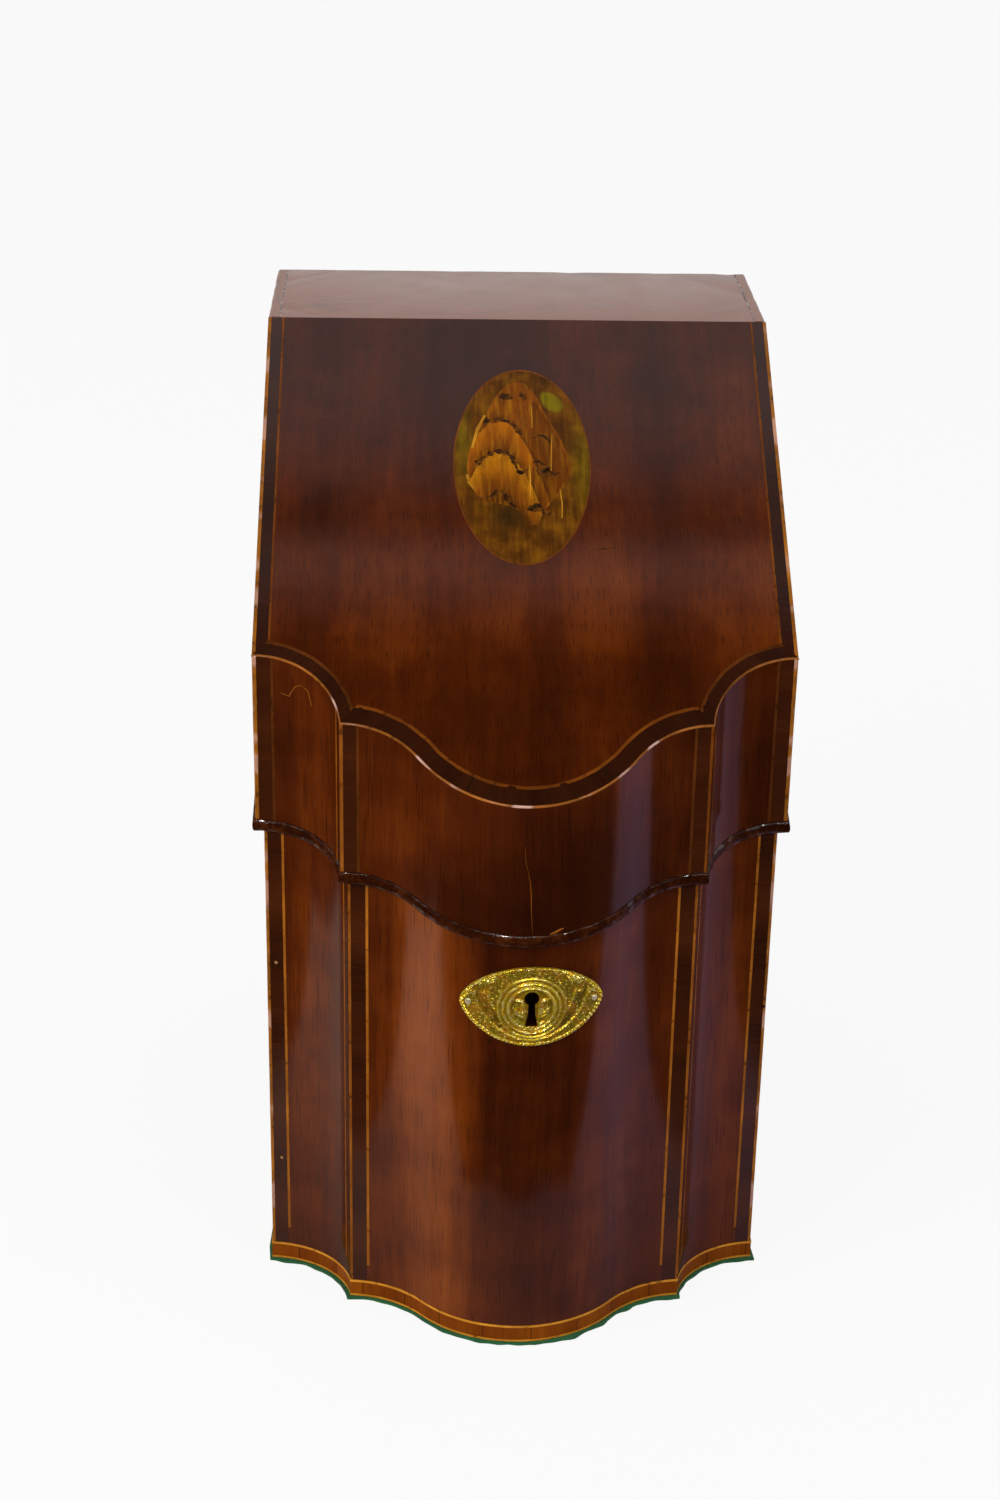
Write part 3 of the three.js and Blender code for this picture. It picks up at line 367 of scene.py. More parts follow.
bareLight = (0.30, 0.11, 0.03)
veneers = {
    "bodyVeneer": {"tone": 0.01, "seed": 0.0, "patches": [
        (-36, 165, 21, 210, 0.30), (38, 120, 34, 170, -0.09), (-22, 14, 40, 24, 0.15)]},
    "leftWingVeneer": {"tone": -0.07, "seed": 3.1, "patches": [(-88, 150, 13, 200, 0.16)]},
    # the right wings take their own copies of the wing veneer, a little lighter on the body and darker on the
    # lid: painted light and shade
    "rightWingVeneer": {"tone": -0.05, "seed": 5.3, "ior": 1.36},
    "lidFrontVeneer": {"tone": 0.0, "seed": 7.7, "patches": [(10, 212, 64, 62, -0.27)]},
    "lidRightWing": {"tone": -0.15, "seed": 5.3, "ior": 1.35},
    "slopeVeneer": {"tone": -0.05, "seed": 12.4, "roughness": 0.12, "grainShare": 0.08,
                    "patches": [(0, 400, 400, 52, -0.13), (0, 316, 400, 17, 0.13)]},
    "slopeInside": {"tone": 0.10, "seed": 15.0, "light": bareLight, "polish": 0.45},
    # the top board and its end strips get a light tone and weak reflection: painted sheen standing in for the
    # pale surroundings their polish mirrors
    "topVeneer": {"tone": 0.37, "seed": 21.0, "layout": "x", "roughness": 0.22, "ior": 1.25},
    "topEndVeneer": {"tone": 0.43, "seed": 24.0, "layout": "y", "roughness": 0.22, "ior": 1.25},
    "sideVeneer": {"tone": 0.0, "seed": 17.0, "layout": "z"},
    "backBoards": {"tone": -0.02, "seed": 41.0, "layout": "z", "streaksPerMetre": 160.0, "polish": 0.35},
    "insideBoards": {"tone": 0.10, "seed": 5.0, "layout": "z", "light": bareLight, "polish": 0.45},
    "trayBoard": {"tone": 0.08, "seed": 9.0, "layout": "x", "light": bareLight, "polish": 0.7},
    "carcasePine": {"tone": 0.0, "seed": 31.0, "layout": "x", "deep": (0.10, 0.045, 0.017),
                    "dark": (0.20, 0.10, 0.04), "middle": (0.32, 0.18, 0.08), "warm": (0.42, 0.26, 0.13),
                    "light": (0.52, 0.35, 0.19), "roughness": 0.55, "streaksPerMetre": 130.0, "polish": 0.2},
}
lightWoods = {
    "stringing": ((0.36, 0.110, 0.010), (0.15, 0.036, 0.002)),
    "slotStringing": ((0.46, 0.26, 0.10), (0.26, 0.12, 0.035)),
    # a third value: varnish left in patches, with painted highlights on them
    "cornerString": ((0.44, 0.150, 0.012), (0.13, 0.036, 0.002), 0.5),
    "wornArrisAndGlints": ((0.40, 0.125, 0.012), (0.045, 0.010, 0.001), 1.0),
    "fadedLine": ((0.22, 0.056, 0.004), (0.080, 0.018, 0.001)),
    "faintLine": ((0.12, 0.030, 0.003), (0.050, 0.011, 0.001)),
    "dimLine": ((0.46, 0.150, 0.010), (0.18, 0.048, 0.003)),
    "baseLine": ((0.80, 0.340, 0.030), (0.40, 0.130, 0.008)),
    "shellRib": ((0.60, 0.270, 0.012), (0.30, 0.100, 0.003)),
}
bandings = {
    "darkBand": {"stops": [(0.2, (0.022, 0.0042, 0.0005)), (0.5, (0.046, 0.0090, 0.0009)),
                           (0.8, (0.076, 0.0155, 0.0014))]},
    "slopeBanding": {"stops": [(0.2, (0.012, 0.0024, 0.0004)), (0.5, (0.028, 0.0054, 0.0008)),
                               (0.8, (0.048, 0.0096, 0.0012))], "jointEvery": 0.062, "jointShade": 0.12},
    "baseBanding": {"stops": [(0.15, (0.085, 0.015, 0.0008)), (0.45, (0.20, 0.042, 0.0016)),
                              (0.8, (0.34, 0.088, 0.0030))], "jointEvery": 0.021, "jointShade": 0.28,
                    "ior": 1.18},
}
for name, look in veneers.items():
    mahogany(name, **look)
for name, look in lightWoods.items():
    stringWood(name, *look)
for name, look in bandings.items():
    crossbandWood(name, **look)
darkMoulding()
greenBaize()
print("woods ready")


# mesh helper
def makePiece(name, points, faces, layout, finish, body, smooth=40.0):
    # points in millimetres, y counted from the back face; layout: a flat place for each point in
    # millimetres, or "plan" or "front" for the points as seen from there
    if isinstance(layout, str):
        layout = [(x, y if layout == "plan" else z) for x, y, z in points]
    mesh = bpy.data.meshes.new(name)
    mesh.from_pydata([(x / 1000, (y + backFace) / 1000, z / 1000) for x, y, z in points], [], faces)
    uv = mesh.uv_layers.new(name="layout")
    for loop in mesh.loops:
        u, v = layout[loop.vertex_index]
        uv.data[loop.index].uv = (u / 1000, v / 1000)
    work = bmesh.new()
    work.from_mesh(mesh)
    bmesh.ops.dissolve_degenerate(work, edges=work.edges, dist=1e-7)
    bmesh.ops.recalc_face_normals(work, faces=work.faces)
    work.to_mesh(mesh)
    work.free()
    mesh.shade_smooth()
    mesh.set_sharp_from_angle(angle=math.radians(smooth))
    mesh.materials.append(finishes[finish])
    piece = placed(name, mesh)
    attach(piece, body)
    return piece


def spread(first, last, count):
    return [first + (last - first) * i / count for i in range(count + 1)]


def runAlong(line):
    # length of the line up to each of its points
    total = [0.0]
    for (ax, ay), (bx, by) in zip(line, line[1:]):
        total.append(total[-1] + math.hypot(bx - ax, by - ay))
    return total


def pushed(point, beyond, by):
    # the point moved by a distance towards another one
    (x, y), (ox, oy) = point, beyond
    gap = max(math.hypot(ox - x, oy - y), tiny)
    return x + (ox - x) / gap * by, y + (oy - y) / gap * by


def ringFaces(first, count, rings):
    # between rings of points that follow each other
    return [(a + k, a + (k + 1) % count, a + count + (k + 1) % count, a + count + k)
            for a in (first + i * count for i in range(rings - 1)) for k in range(count)]


def prismFaces(n, rings=2):
    # rings of n points, closed at both ends
    last = (rings - 1) * n
    return [*ringFaces(0, n, rings), list(range(n)), [last + k for k in range(n)][::-1]]


def covePoint(angle, inset):
    nx, ny = -coveY * math.sin(angle), coveX * math.cos(angle)
    size = math.hypot(nx, ny)
    return (halfWidth - coveX * math.sin(angle) + nx / size * inset,
            -wingDepth - coveY * (1 - math.cos(angle)) + ny / size * inset)


def crossing(value, low, high):
    for _ in range(40):
        middle = (low + high) / 2
        if value(middle) > 0:
            low = middle
        else:
            high = middle
    return (low + high) / 2


frontLines = {}


def frontLine(inset):
    # the serpentine front at an inset from the lid's face, from the left corner to the right one
    key = round(inset, 4)
    if key in frontLines:
        return frontLines[key]
    hollow = hollowRadius + inset
    arcY = -arrisDepth - hollowRadius
    coveFrom, coveTo = 0.0, coveEnd
    if inset >= 0:
        def reach(angle):
            x, y = covePoint(angle, inset)
            return math.hypot(x - bowHalf, y - arcY) - hollow
        coveFrom = crossing(lambda a: covePoint(a, inset)[0] - halfWidth + inset, 0.0, coveEnd)
        coveTo = crossing(reach, 0.0, coveEnd)
        arris = turn = covePoint(coveTo, inset)
        corner = covePoint(coveFrom, inset)
    else:
        x, y = covePoint(coveEnd, inset)
        mitreY = -arrisDepth + inset
        lean = coveX * math.cos(coveEnd) / (coveY * math.sin(coveEnd))
        arris = (x - (y - mitreY) * lean, mitreY)
        turn = (bowHalf, mitreY)
        corner = (halfWidth - inset, -wingDepth + inset)
    hollowFrom = math.asin(max(0.0, (bowHalf - arris[0]) / hollow))
    right = [corner]
    right += [covePoint(a, inset) for a in spread(coveFrom, coveTo, steps["cove"])]
    right += [arris, turn]
    right += [(bowHalf - hollow * math.sin(a), arcY + hollow * math.cos(a))
              for a in spread(hollowFrom, bowTurn, steps["hollow"])[1:]]
    right += [((bowRadius - inset) * math.sin(a), -bowDepth + bowRadius - (bowRadius - inset) * math.cos(a))
              for a in spread(bowTurn, 0.0, steps["bow"])[1:]]
    line = [(-x, y) for x, y in right[:-1]] + right[::-1]
    frontLines[key] = line
    return line


# samples: the front line's points, counted from its left corner
lastSample = len(frontLine(0.0)) - 1
leftArris = steps["cove"] + 2
rightArris = lastSample - leftArris
faceRuns = {inset: runAlong(frontLine(inset)) for inset in (0.0, bodyInset)}


def sampleAt(faceInset, start, distance):
    # sample number, with a fraction, at a distance along the face from sample start
    run = faceRuns[faceInset]
    goal = run[start] + distance
    for i in range(lastSample):
        if run[i] <= goal <= run[i + 1] and run[i + 1] > run[i]:
            return i + (goal - run[i]) / (run[i + 1] - run[i])
    return float(lastSample if distance > 0 else 0)


def pointAt(inset, t):
    line = frontLine(inset)
    i = min(int(t), lastSample - 1)
    (ax, ay), (bx, by) = line[i], line[i + 1]
    return ax + (bx - ax) * (t - i), ay + (by - ay) * (t - i)


def samplesOf(first, last):
    return [first, *(float(i) for i in range(math.ceil(first + tiny), math.floor(last - tiny) + 1)), last]


def lineFor(inset, samples, around):
    # around: the line goes on along both sides to the back
    line = [pointAt(inset, t) for t in samples]
    if around:
        edge = halfWidth - inset
        back = spread(0.0, line[0][1], steps["side"])[:-1]
        line = [(-edge, y) for y in back] + line + [(edge, y) for y in back[::-1]]
    return line


def sweep(name, section, finish, body, slot, first=0.0, last=float(lastSample), around=False, faceInset=0.0,
          lumps=None, layoutAcross=False, smooth=40.0):
    # section: (inset, height) pairs; a height is a number or a function of y
    # lumps: how far and how often points move, the noise's seed, and the inset under which they do
    samples = samplesOf(first, last)
    base = lineFor(faceInset, samples, around)
    run = runAlong(base)
    start = sum(abs(a) for a in base[0])
    points, layout = [], []
    for k, (inset, height) in enumerate(section):
        line = lineFor(inset, samples, around)
        outer = lineFor(inset - 1.0, samples, around) if lumps else line
        for j, ((x, y), beyond) in enumerate(zip(line, outer)):
            z = heightAt(height, y)
            if lumps and inset < lumps["onlyUnder"]:
                along = run[j] * lumps["often"]
                push = lumps["size"] * wave(along, k * 0.35, lumps["seed"])
                x, y = pushed((x, y), beyond, push)
                z += 0.6 * lumps["size"] * wave(along + 50, k * 0.3, 3.0)
            points.append((x, y, z))
            layout.append((z, start + run[j]) if layoutAcross else (start + run[j], z))
    n, m = len(section), len(base)
    faces = []
    for k in range(n):
        up = (k + 1) % n
        faces += [(k * m + j, k * m + j + 1, up * m + j + 1, up * m + j) for j in range(m - 1)]
    faces.append([k * m for k in range(n)][::-1])
    faces.append([k * m + m - 1 for k in range(n)])
    return makePiece(name, points, faces, layout, finish, body, smooth)


def slab(insetOut, insetIn, low, top):
    return [(insetIn, low), (insetOut, low), (insetOut, top), (insetIn, top)]


def cutAway(piece, cutter):
    # the cut becomes the piece's own mesh, and the cutter goes
    change = piece.modifiers.new("cut", "BOOLEAN")
    change.operation = "DIFFERENCE"
    change.solver = "EXACT"
    change.object = cutter
    graph = bpy.context.evaluated_depsgraph_get()
    graph.update()
    result = bpy.data.meshes.new_from_object(piece.evaluated_get(graph))
    piece.modifiers.remove(change)
    uncut, piece.data = piece.data, result
    cutterMesh = cutter.data
    bpy.data.objects.remove(cutter)
    for mesh in (uncut, cutterMesh):
        bpy.data.meshes.remove(mesh)
    piece.data.set_sharp_from_angle(angle=math.radians(40))


print("helpers ready")

# serpentine fronts
inlay = {
    "veneerLift": 0.30,
    "bandLift": 0.33,
    "lineLift": 0.36,
    "bed": 0.1,           # how far the veneer sinks into the board
    "edgeLine": 1.7,      # light string at each front corner
    "band": 6.0,          # dark crossband beside it
    "thinLine": 1.10,     # every other line
    "centreBand": {0.0: 5.6, bodyInset: 6.4},
    "innerFoot": 8.5,     # how far up from the base the body's inner lines stop
}
beads = {"lidLow": 0.15, "lidHigh": 5.4, "lidProud": 1.28, "lidBed": 3.6,
         "bodyHigh": 2.6, "bodyProud": 0.7, "bodyBed": 3.4, "gap": 0.2}


def frontInlay(prefix, face, low, top, lineLow, body, woods):
    # low, top: heights that the veneer covers; lineLow: where the inner lines stop
    edge, band, wide = inlay["edgeLine"], inlay["band"], inlay["thinLine"]
    centreBand = inlay["centreBand"][face]

    def at(start, distance):
        return sampleAt(face, start, distance) if distance else float(start)

    def strip(label, lift, bed, foot, finish, slot, a, b, layoutAcross=True):
        return sweep(prefix + label, slab(face - lift, face + bed, foot, top), finish, body, slot, a, b,
                     faceInset=face, layoutAcross=layoutAcross)

    fields = {"WingVeneerLeft": (at(0, edge), at(leftArris, 0), woods["wings"][0]),
              "CentreVeneer": (at(leftArris, 0), at(rightArris, 0), woods["centre"]),
              "WingVeneerRight": (at(rightArris, 0), at(lastSample, -edge), woods["wings"][1])}
    made = {label: strip(label, inlay["veneerLift"], inlay["bed"], low, wood, "mahogany", a, b, False)
            for label, (a, b, wood) in fields.items()}
    # on the left half; the right one mirrors it
    for label, start, near, far in (("WingBand", 0, edge, edge + band),
                                    ("WingArrisBand", leftArris, -band, 0.0),
                                    ("CentreBand", leftArris, wide, wide + centreBand)):
        mirrored = lastSample - start
        for word, a, b in (("Left", at(start, near), at(start, far)),
                           ("Right", at(mirrored, -far), at(mirrored, -near))):
            strip(label + word, inlay["bandLift"], 0.0, low, "darkBand", "mahogany", a, b)
    lines = (("WingLine", 0, edge + band, lineLow, woods["wingLines"]),
             ("CentreLine", leftArris, wide + centreBand, lineLow, woods["centreLines"]),
             ("WingArrisLine", leftArris, -band - wide, lineLow, woods["arrisLines"]),
             ("ArrisLine", leftArris, 0.0, low, woods["arrisLines"]))
    run = faceRuns[face]
    for label, start, near, foot, (leftWood, rightWood) in lines:
        for word, a, wood in (("Left", at(start, near), leftWood),
                              ("Right", at(lastSample - start, -near - wide), rightWood)):
            i = min(int(a), lastSample - 1)
            here = run[i] + (run[i + 1] - run[i]) * (a - i)
            b = sampleAt(face, 0, here + wide)
            strip(label + word, inlay["lineLift"], 0.0, foot, wood, "boxwood", a, b)
    return made["CentreVeneer"]


arrisLook = {"radius": 0.50, "lumps": 0.13, "proud": 0.30, "rise": 0.07, "root": 0.9, "bed": 0.25,
             "drop": 0.6}
bodyLow = boxSize["bodyBottom"]
bodyTop = raised(partingZ, -(beads["lidLow"] + beads["bodyHigh"] + beads["gap"]))
lidLow = raised(partingZ, beads["lidLow"] + beads["lidHigh"] + beads["gap"])
bodyWoods = {"centre": "bodyVeneer", "wings": ("leftWingVeneer", "rightWingVeneer"),
             "arrisLines": ("stringing", "stringing"), "wingLines": ("dimLine", "dimLine"),
             "centreLines": ("dimLine", "dimLine")}
lidWoods = {"centre": "lidFrontVeneer", "wings": ("leftWingVeneer", "lidRightWing"),
            "arrisLines": ("stringing", "fadedLine"), "wingLines": ("faintLine", "faintLine"),
            "centreLines": ("faintLine", "faintLine")}
bodyCentre = frontInlay("body", bodyInset, bodyLow, bodyTop, bodyLow + inlay["innerFoot"], "body", bodyWoods)
frontInlay("lidFront", 0.0, lidLow, raised(slopeZ, -arrisLook["drop"]), lidLow, "lid", lidWoods)
print("fronts veneered")

# slope and top
slopeLook = {"band": 5.2, "line": 0.9, "side": 6.4, "edge": 1.5, "core": 0.35, "centreWider": 1.8,
             "thick": 0.34, "joint": 0.05, "mitreGap": 0.03, "rows": 16, "boardJoint": 0.2, "boardRows": 2,
             "bandFrom": 0.25, "bandLift": 0.03, "bandThick": 0.37, "lineFrom": -1.0, "lineTo": 0.25,
             "lineLift": 0.14, "lineThick": 0.45, "sideLineLift": 0.02}
slopeLumps = {"size": 0.26, "often": 0.16, "seed": 6.0, "onlyUnder": 99}
bandEnd = slopeLook["band"] + slopeLook["line"]
sideStart = slopeLook["side"] + slopeLook["line"]
slopeRear = -boxSize["topDepth"] - slopeLook["joint"]


def slopePiece(name, insetOut, insetIn, lift, thick, finish, slot, first, last, lumps=None):
    # a band on the slope between two insets of the serpentine line
    top, low = raised(slopeZ, lift), raised(slopeZ, lift - thick)
    sweep(name, [(insetOut, low), (insetOut, top), (insetIn, top), (insetIn, low)], finish, "lid", slot,
          first, last, lumps=lumps)


def slopeSheet(name, line, rearY, lift, thick, finish, rows, grainAcross=False):
    # the slope from a line of front points back to rearY
    points, layout = [], []
    for level in (lift, lift - thick):
        for x, frontY in line:
            for r in range(rows + 1):
                y = frontY + (rearY - frontY) * r / rows
                up = (y + wingDepth) / math.cos(slopeTurn)
                points.append((x, y, slopeZ(y) + level))
                layout.append((up, x) if grainAcross else (x, up))
    n, m = len(line), rows + 1
    under = n * m
    faces = [(a, a + 1, a + m + 1, a + m)
             for a in (s + i * m + r for s in (0, under) for i in range(n - 1) for r in range(rows))]
    ends = [(i * m + r, m) for i in range(n - 1) for r in (0, rows)]
    edges = [(i * m + r, 1) for i in (0, n - 1) for r in range(rows)]
    faces += [(a, a + to, a + to + under, a + under) for a, to in ends + edges]
    return makePiece(name, points, faces, layout, finish, "lid", 30.0)


def slopeField(name, inset, sideInset, rearY, thick, finish, rows, lift=0.0):
    # the whole slope behind the line at an inset, between two side edges
    edge = halfWidth - sideInset
    line = [(x, y) for x, y in frontLine(inset) if abs(x) <= edge + tiny]
    if abs(line[0][0] + edge) > tiny:
        line = [(-edge, line[0][1]), *line, (edge, line[0][1])]
    return slopeSheet(name, line, rearY, lift, thick, finish, rows)


def slopeStrip(name, side, near, far, lift, finish):
    # a straight strip up one side of the slope, near and far counted in from its edge
    mitre = (frontLine(bandEnd)[0][1] + wingDepth) / bandEnd
    line = [(x, -wingDepth + (halfWidth - abs(x)) * mitre + slopeLook["mitreGap"])
            for x in sorted((side * (halfWidth - near), side * (halfWidth - far)))]
    slopeSheet(name, line, slopeRear, lift, slopeLook["thick"], finish, slopeLook["rows"], True)


core = slopeLook["core"]
board = slopeField("slopeBoard", 0.0, 0.0, -boxSize["topDepth"] - slopeLook["boardJoint"],
                   boxSize["boardThick"] / math.cos(slopeTurn) - core, "slopeInside", slopeLook["boardRows"],
                   -core)
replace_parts(board, "lid_slope")
slopeField("slopeVeneer", bandEnd, sideStart, slopeRear, core, "slopeVeneer", slopeLook["rows"])
for word, a, b, wider, wood in (("Left", 0, leftArris, 0.0, "faintLine"),
                                ("Centre", leftArris, rightArris, slopeLook["centreWider"], "fadedLine"),
                                ("Right", rightArris, lastSample, 0.0, "faintLine")):
    end = bandEnd + wider
    slopePiece("slopeBand" + word, slopeLook["bandFrom"], end, slopeLook["bandLift"], slopeLook["bandThick"],
               "slopeBanding", "mahogany", float(a), float(b))
    slopePiece("slopeLine" + word, end + slopeLook["lineFrom"], end + slopeLook["lineTo"],
               slopeLook["lineLift"], slopeLook["lineThick"], wood, "boxwood", float(a), float(b), slopeLumps)
edge, inner = slopeLook["edge"], slopeLook["side"]
for side, word in sides:
    slopeStrip("slopeEdge" + word, side, 0.0, edge, 0.0, "cornerString")
    slopeStrip("slopeSideBand" + word, side, edge, inner, 0.0, "slopeBanding")
    slopeStrip("slopeSideLine" + word, side, inner, sideStart, slopeLook["sideLineLift"], "fadedLine")
print("slope veneered")


# worn arris between the slope and the front; its finish carries painted highlights
def arrisSection():
    radius = arrisLook["radius"]
    centreInset, centreDrop = radius - arrisLook["proud"], arrisLook["rise"] - radius
    nose = [(centreInset + radius * math.cos(a), raised(slopeZ, centreDrop + radius * math.sin(a)))
            for a in (math.radians(degrees) for degrees in range(100, 281, 20))]
    root = centreInset + arrisLook["root"]
    return [*nose, (root, raised(slopeZ, centreDrop - radius)), (root, raised(slopeZ, -arrisLook["bed"]))]


sweep("slopeArris", arrisSection(), "wornArrisAndGlints", "lid", "boxwood",
      lumps={"size": arrisLook["lumps"], "often": 0.13, "seed": 4.0, "onlyUnder": 0.5}, smooth=60.0)

# top board
topLook = {"round": 1.1, "chips": 0.35, "bed": 0.05, "worn": 2.0, "longest": 9}


def topBoard():
    depth, thick = boxSize["topDepth"], boxSize["boardThick"]
    height = boxSize["topHeight"] - topLook["bed"]
    work = bmesh.new()
    bmesh.ops.create_cube(work, size=1.0)
    for v in work.verts:
        x, y, z = v.co
        v.co = Vector((x * 2 * halfWidth, (y - 0.5) * depth, height - thick + (z + 0.5) * thick))
    upper = [e for e in work.edges if all(v.co.z > height - 1 for v in e.verts)
             and not all(abs(v.co.y + depth) < 1 for v in e.verts)]
    ends = [e for e in work.edges if abs(e.verts[0].co.z - e.verts[1].co.z) > 1 and e.verts[0].co.y > -1]
    bmesh.ops.bevel(work, geom=upper + ends, offset=topLook["round"], segments=4, profile=0.5, affect="EDGES")
    for _ in range(5):
        long = [e for e in work.edges if e.calc_length() > topLook["longest"]]
        bmesh.ops.subdivide_edges(work, edges=long, cuts=1)
    bmesh.ops.triangulate(work, faces=[f for f in work.faces if len(f.verts) > 4])
    points = []
    work.verts.index_update()
    for x, y, z in (v.co for v in work.verts):
        if min(halfWidth - abs(x), -y) < topLook["worn"] and z > height - topLook["worn"]:
            dent = max(0.0, wave(x * 0.09, y * 0.13, 7.0) - 0.05) * topLook["chips"] * 2
            z -= dent
            x -= math.copysign(dent * 0.6, x) if halfWidth - abs(x) < topLook["worn"] else 0
        points.append((x, y, z))
    faces = [[v.index for v in f.verts] for f in work.faces]
    work.free()
    piece = makePiece("topBoard", points, faces, "plan", "topVeneer", "lid", 35.0)
    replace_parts(piece, "lid_top")


topBoard()


# beads, base band, corners
def bead(name, node, face, bed, proud, low, high, body, lumps):
    # a half round along the parting line, low to high counted from it
    middle = (low + high) / 2
    nose = [(face - proud * math.cos(a), raised(partingZ, middle + (high - low) / 2 * math.sin(a)))
            for a in spread(-math.pi / 2, math.pi / 2, 10)]
    section = [(face + bed, raised(partingZ, low)), *nose, (face + bed, raised(partingZ, high))]
    piece = sweep(name, section, "darkMoulding", body, "moulding", around=True, faceInset=face, smooth=70.0,
                  lumps=lumps)
    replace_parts(piece, node)


bead("lidBead", "lid_bead", 0.0, beads["lidBed"], beads["lidProud"], beads["lidLow"],
     beads["lidLow"] + beads["lidHigh"], "lid", {"size": 0.22, "often": 0.24, "seed": 1.0, "onlyUnder": 0.5})
bead("bodyBead", "body_bead", bodyInset, beads["bodyBed"], beads["bodyProud"],
     -beads["lidLow"] - beads["bodyHigh"], -beads["lidLow"], "body",
     {"size": 0.07, "often": 0.17, "seed": 9.0, "onlyUnder": bodyInset + 0.3})

foot = {"low": boxSize["baizeTop"], "high": bodyLow, "lineHigh": 1.1, "lineLow": 1.0, "proud": 0.34,
        "lowProud": 0.36, "highProud": 0.48, "bed": 1.2}


def footStrip(name, proud, low, high, finish, slot, **look):
    return sweep(name, slab(bodyInset - proud, bodyInset + foot["bed"], low, high), finish, "body", slot,
                 around=True, faceInset=bodyInset, **look)


bandLow, bandHigh = foot["low"] + foot["lineLow"], foot["high"] - foot["lineHigh"]
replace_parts(footStrip("baseBand", foot["proud"], bandLow, bandHigh, "baseBanding", "crossband"), "base_band")
for label, low, high, proud in (("baseLineLow", foot["low"], bandLow, foot["lowProud"]),
                                ("baseLineHigh", bandHigh, foot["high"], foot["highProud"])):
    footStrip(label, proud, low, high, "baseLine", "boxwood", smooth=30.0,
              lumps={"size": 0.10, "often": 0.12, "seed": 2.0, "onlyUnder": bodyInset})


def column(name, outline, low, top, rows, finish, body, wobble=0.0, smooth=40.0):
    # a plan outline raised between two heights, each a number or a function of y
    points, layout = [], []
    for r in range(rows + 1):
        for k, (x, y) in enumerate(outline):
            z0 = heightAt(low, y)
            z = z0 + (heightAt(top, y) - z0) * r / rows
            dx, dy = (wobble * wave(z * 0.07, k * 0.2, seed) for seed in (1.0, 8.0))
            points.append((x + dx, y + dy, z))
            layout.append((z, k * 0.7))
    return makePiece(name, points, prismFaces(len(outline), rows + 1), layout, finish, body, smooth)


corner = {"size": 1.8, "round": 0.85, "lift": 0.34, "proud": 0.06, "wobble": 0.10, "rows": 40, "band": 5.2,
          "line": 1.0, "bed": 0.2, "bandLift": 0.05, "lineLift": 0.07, "sideRows": 12, "lidDrop": 0.4}


def cornerString(name, node, side, inset, low, top, body):
    size, curve, lift, proud = (corner[k] for k in ("size", "round", "lift", "proud"))
    edge = halfWidth - inset
    frontY = -wingDepth + inset - lift
    outline = [(edge - size, frontY + size + lift), (edge - size, frontY)]
    outline += [(edge + proud - curve + curve * math.sin(a), frontY + curve - curve * math.cos(a))
                for a in spread(0.0, math.pi / 2, 5)]
    outline += [(edge + proud, frontY + size + lift)]
    piece = column(name, [(side * x, y) for x, y in outline], low, top, corner["rows"], "cornerString", body,
                   corner["wobble"], 60.0)
    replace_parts(piece, node)


def sideStrip(name, side, inset, y0, y1, low, top, finish, body, lift):
    x0, x1 = (side * (halfWidth - inset + out) for out in (-corner["bed"], lift))
    column(name, [(x0, y0), (x1, y0), (x1, y1), (x0, y1)], low, top, corner["sideRows"], finish, body)


corners = (("body", bodyInset, bodyLow, bodyTop), ("lid", 0.0, lidLow, raised(slopeZ, -corner["lidDrop"])))
for side, word in sides:
    for body, inset, low, top in corners:
        cornerString(f"{body}Corner{word}", f"{body}_corner_string_{word.lower()}", side, inset, low, top,
                     body)
    for body, inset, low, top in corners:
        front = -wingDepth + inset + corner["size"]
        bandBack = front + corner["band"]
        sideStrip(f"{body}SideBand{word}", side, inset, front, bandBack, low, top, "darkBand",
                  body, corner["bandLift"])
        sideStrip(f"{body}SideLine{word}", side, inset, bandBack, bandBack + corner["line"], low, top,
                  "stringing", body, corner["lineLift"])
print("mouldings ready")

# baize under the base
baizeLook = {"proud": 1.7, "ragged": 1.5, "closest": 0.3, "lowEdge": 0.35, "highEdge": 0.2, "back": -1.0,
             "flatShare": 0.985, "flatShift": -1.5}


def baize():
    samples = samplesOf(0.0, float(lastSample))
    inset = bodyInset - baizeLook["proud"]
    thin = []
    for (x, y), beyond in zip(lineFor(inset, samples, True), lineFor(inset - 1.0, samples, True)):
        if thin and math.hypot(x - thin[-1][0], y - thin[-1][1]) < baizeLook["closest"]:
            continue
        thin.append(pushed((x, y), beyond, baizeLook["ragged"] * wave(x * 0.14, y * 0.14, 2.0)))
    thin[0], thin[-1] = (thin[0][0], baizeLook["back"]), (thin[-1][0], baizeLook["back"])
    rise, share = boxSize["baizeTop"], baizeLook["flatShare"]
    middle = [(x * share, y * share + baizeLook["flatShift"]) for x, y in thin]
    rings = ((middle, 0.0), (thin, baizeLook["lowEdge"]), (thin, rise - baizeLook["highEdge"]),
             (middle, rise))
    points = [(x, y, z) for line, z in rings for x, y in line]
    cloth = makePiece("baize", points, prismFaces(len(thin), 4), "plan", "greenBaize", "body", 50.0)
    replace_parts(cloth, "baize_pad")
    area = abs(sum(ax * by - bx * ay for (ax, ay), (bx, by) in zip(thin, thin[1:] + thin[:1]))) / 2e6
    wide, deep = (max(values) - min(values) for values in zip(*thin))
    wide / 1000
    deep / 1000
    print("baize", round(wide, 1), round(deep, 1), "mm, area", round(area, 5))


baize()

